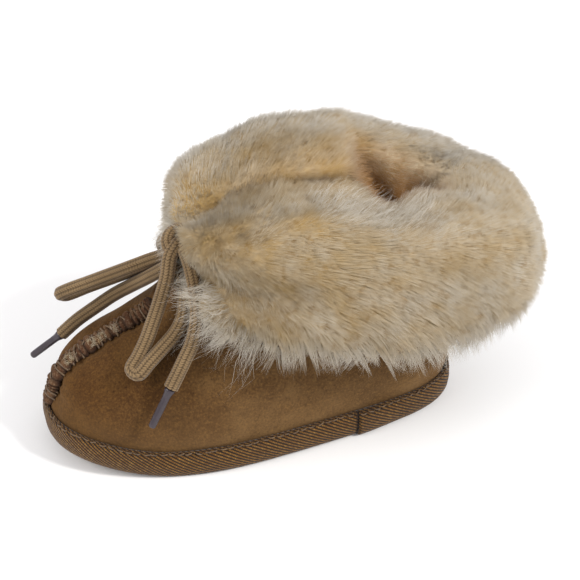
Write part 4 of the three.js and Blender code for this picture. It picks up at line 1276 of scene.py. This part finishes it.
FRIZZ_LONGER, FRIZZ_WHITER, FRIZZ_FORWARD = 2.8, 0.8, 0.9
for name, (first, last, low, high, strands, locks, joints, curl, seed) in CUFF_RUNS.items():
    picked = np.flatnonzero((cuff_shares >= first - RUN_LAP) & (cuff_shares <= last + RUN_LAP))
    block = np.ix_(picked, np.arange(low, high))
    run_marks = {mark: values[block] for mark, values in cuff_marks.items()}
    if "frizz" in name:
        run_marks["pile"] = run_marks["pile"] * FRIZZ_LONGER
        run_marks["tone"] = np.clip(run_marks["tone"] + FRIZZ_WHITER, 0, 1)
        run_marks["comb"] = run_marks["comb"] + FRIZZ_FORWARD * (round_cuff * forward[..., None])[block]
    grow_wool(name, pile_points[block], run_marks, strands, locks, STRAND_RADIUS, joints, curl, seed)

# Tufts of the lining's wool that were caught in the toe seam: where each starts and ends along the seam
TUFTS = ((14.5, 19), (23.5, 29.5), (31.5, 34))
TUFT_COLUMNS = np.arange(4, 14)
for number, (first, last) in enumerate(TUFTS):
    picked = np.flatnonzero((seam_run >= first) & (seam_run <= last))
    tuft_skin = ridge[np.ix_(picked, TUFT_COLUMNS)]
    tuft_marks = {
        mark: np.full(tuft_skin.shape[:2], value)
        for mark, value in (("clump", 0.7), ("cover", 1), ("deep", 0), ("tone", 0.4), ("pile", 1.1 * MM))
    }
    tuft_marks["comb"] = np.zeros(tuft_skin.shape)
    grow_wool(
        f"seam_wool_tuft_{number + 1}", tuft_skin, tuft_marks, strands=7, locks=0.5, radius=0.07, joints=3,
        curl=1.2, seed=30 + number,
    )


# Stage
# A plain white floor, one soft light to the right of the camera, a wider and weaker one to its left and an
# even sky, as in a small photo tent.
FLOOR_HALF, FLOOR_Z = 3000, -0.1
floor_paper, tree, _ = new_material("white_paper_floor")
give_surface(tree, "#f4f3f1", {"Roughness": 0.9, "Specular IOR Level": 0.1})
floor_corners = [[FLOOR_HALF * x, FLOOR_HALF * y, FLOOR_Z] for x, y in ((-1, -1), (1, -1), (1, 1), (-1, 1))]
floor = new_object("floor", floor_corners, [(0, 1, 2, 3)])
floor.data.materials.append(floor_paper)

toward_camera = Vector((back.x, back.y, 0)).normalized()
LIGHTS = {
    # to the picture's right, towards the camera, up, size, watts
    "key_softbox": (1.5, 0.75, 1.6, 0.35, 32),
    "fill_softbox": (-1.2, 0.7, 1.1, 1.0, 15),
}
for name, (right, near, high, size, watts) in LIGHTS.items():
    lamp = bpy.data.lights.new(name, "AREA")
    lamp.size = size
    lamp.energy = watts
    light = bpy.data.objects.new(name, lamp)
    light.location = level_right * right + toward_camera * near + Vector((0, 0, high))
    light.rotation_mode = "QUATERNION"
    light.rotation_quaternion = light.location.to_track_quat("Z", "Y")
    bpy.context.collection.objects.link(light)

sky = bpy.data.worlds.new("tent_light")
sky.use_nodes = True
sky.node_tree.nodes["Background"].inputs["Color"].default_value = linear("#fbfbff")
sky.node_tree.nodes["Background"].inputs["Strength"].default_value = 0.87
bpy.context.scene.world = sky
bpy.context.scene.view_settings.view_transform = "Standard"
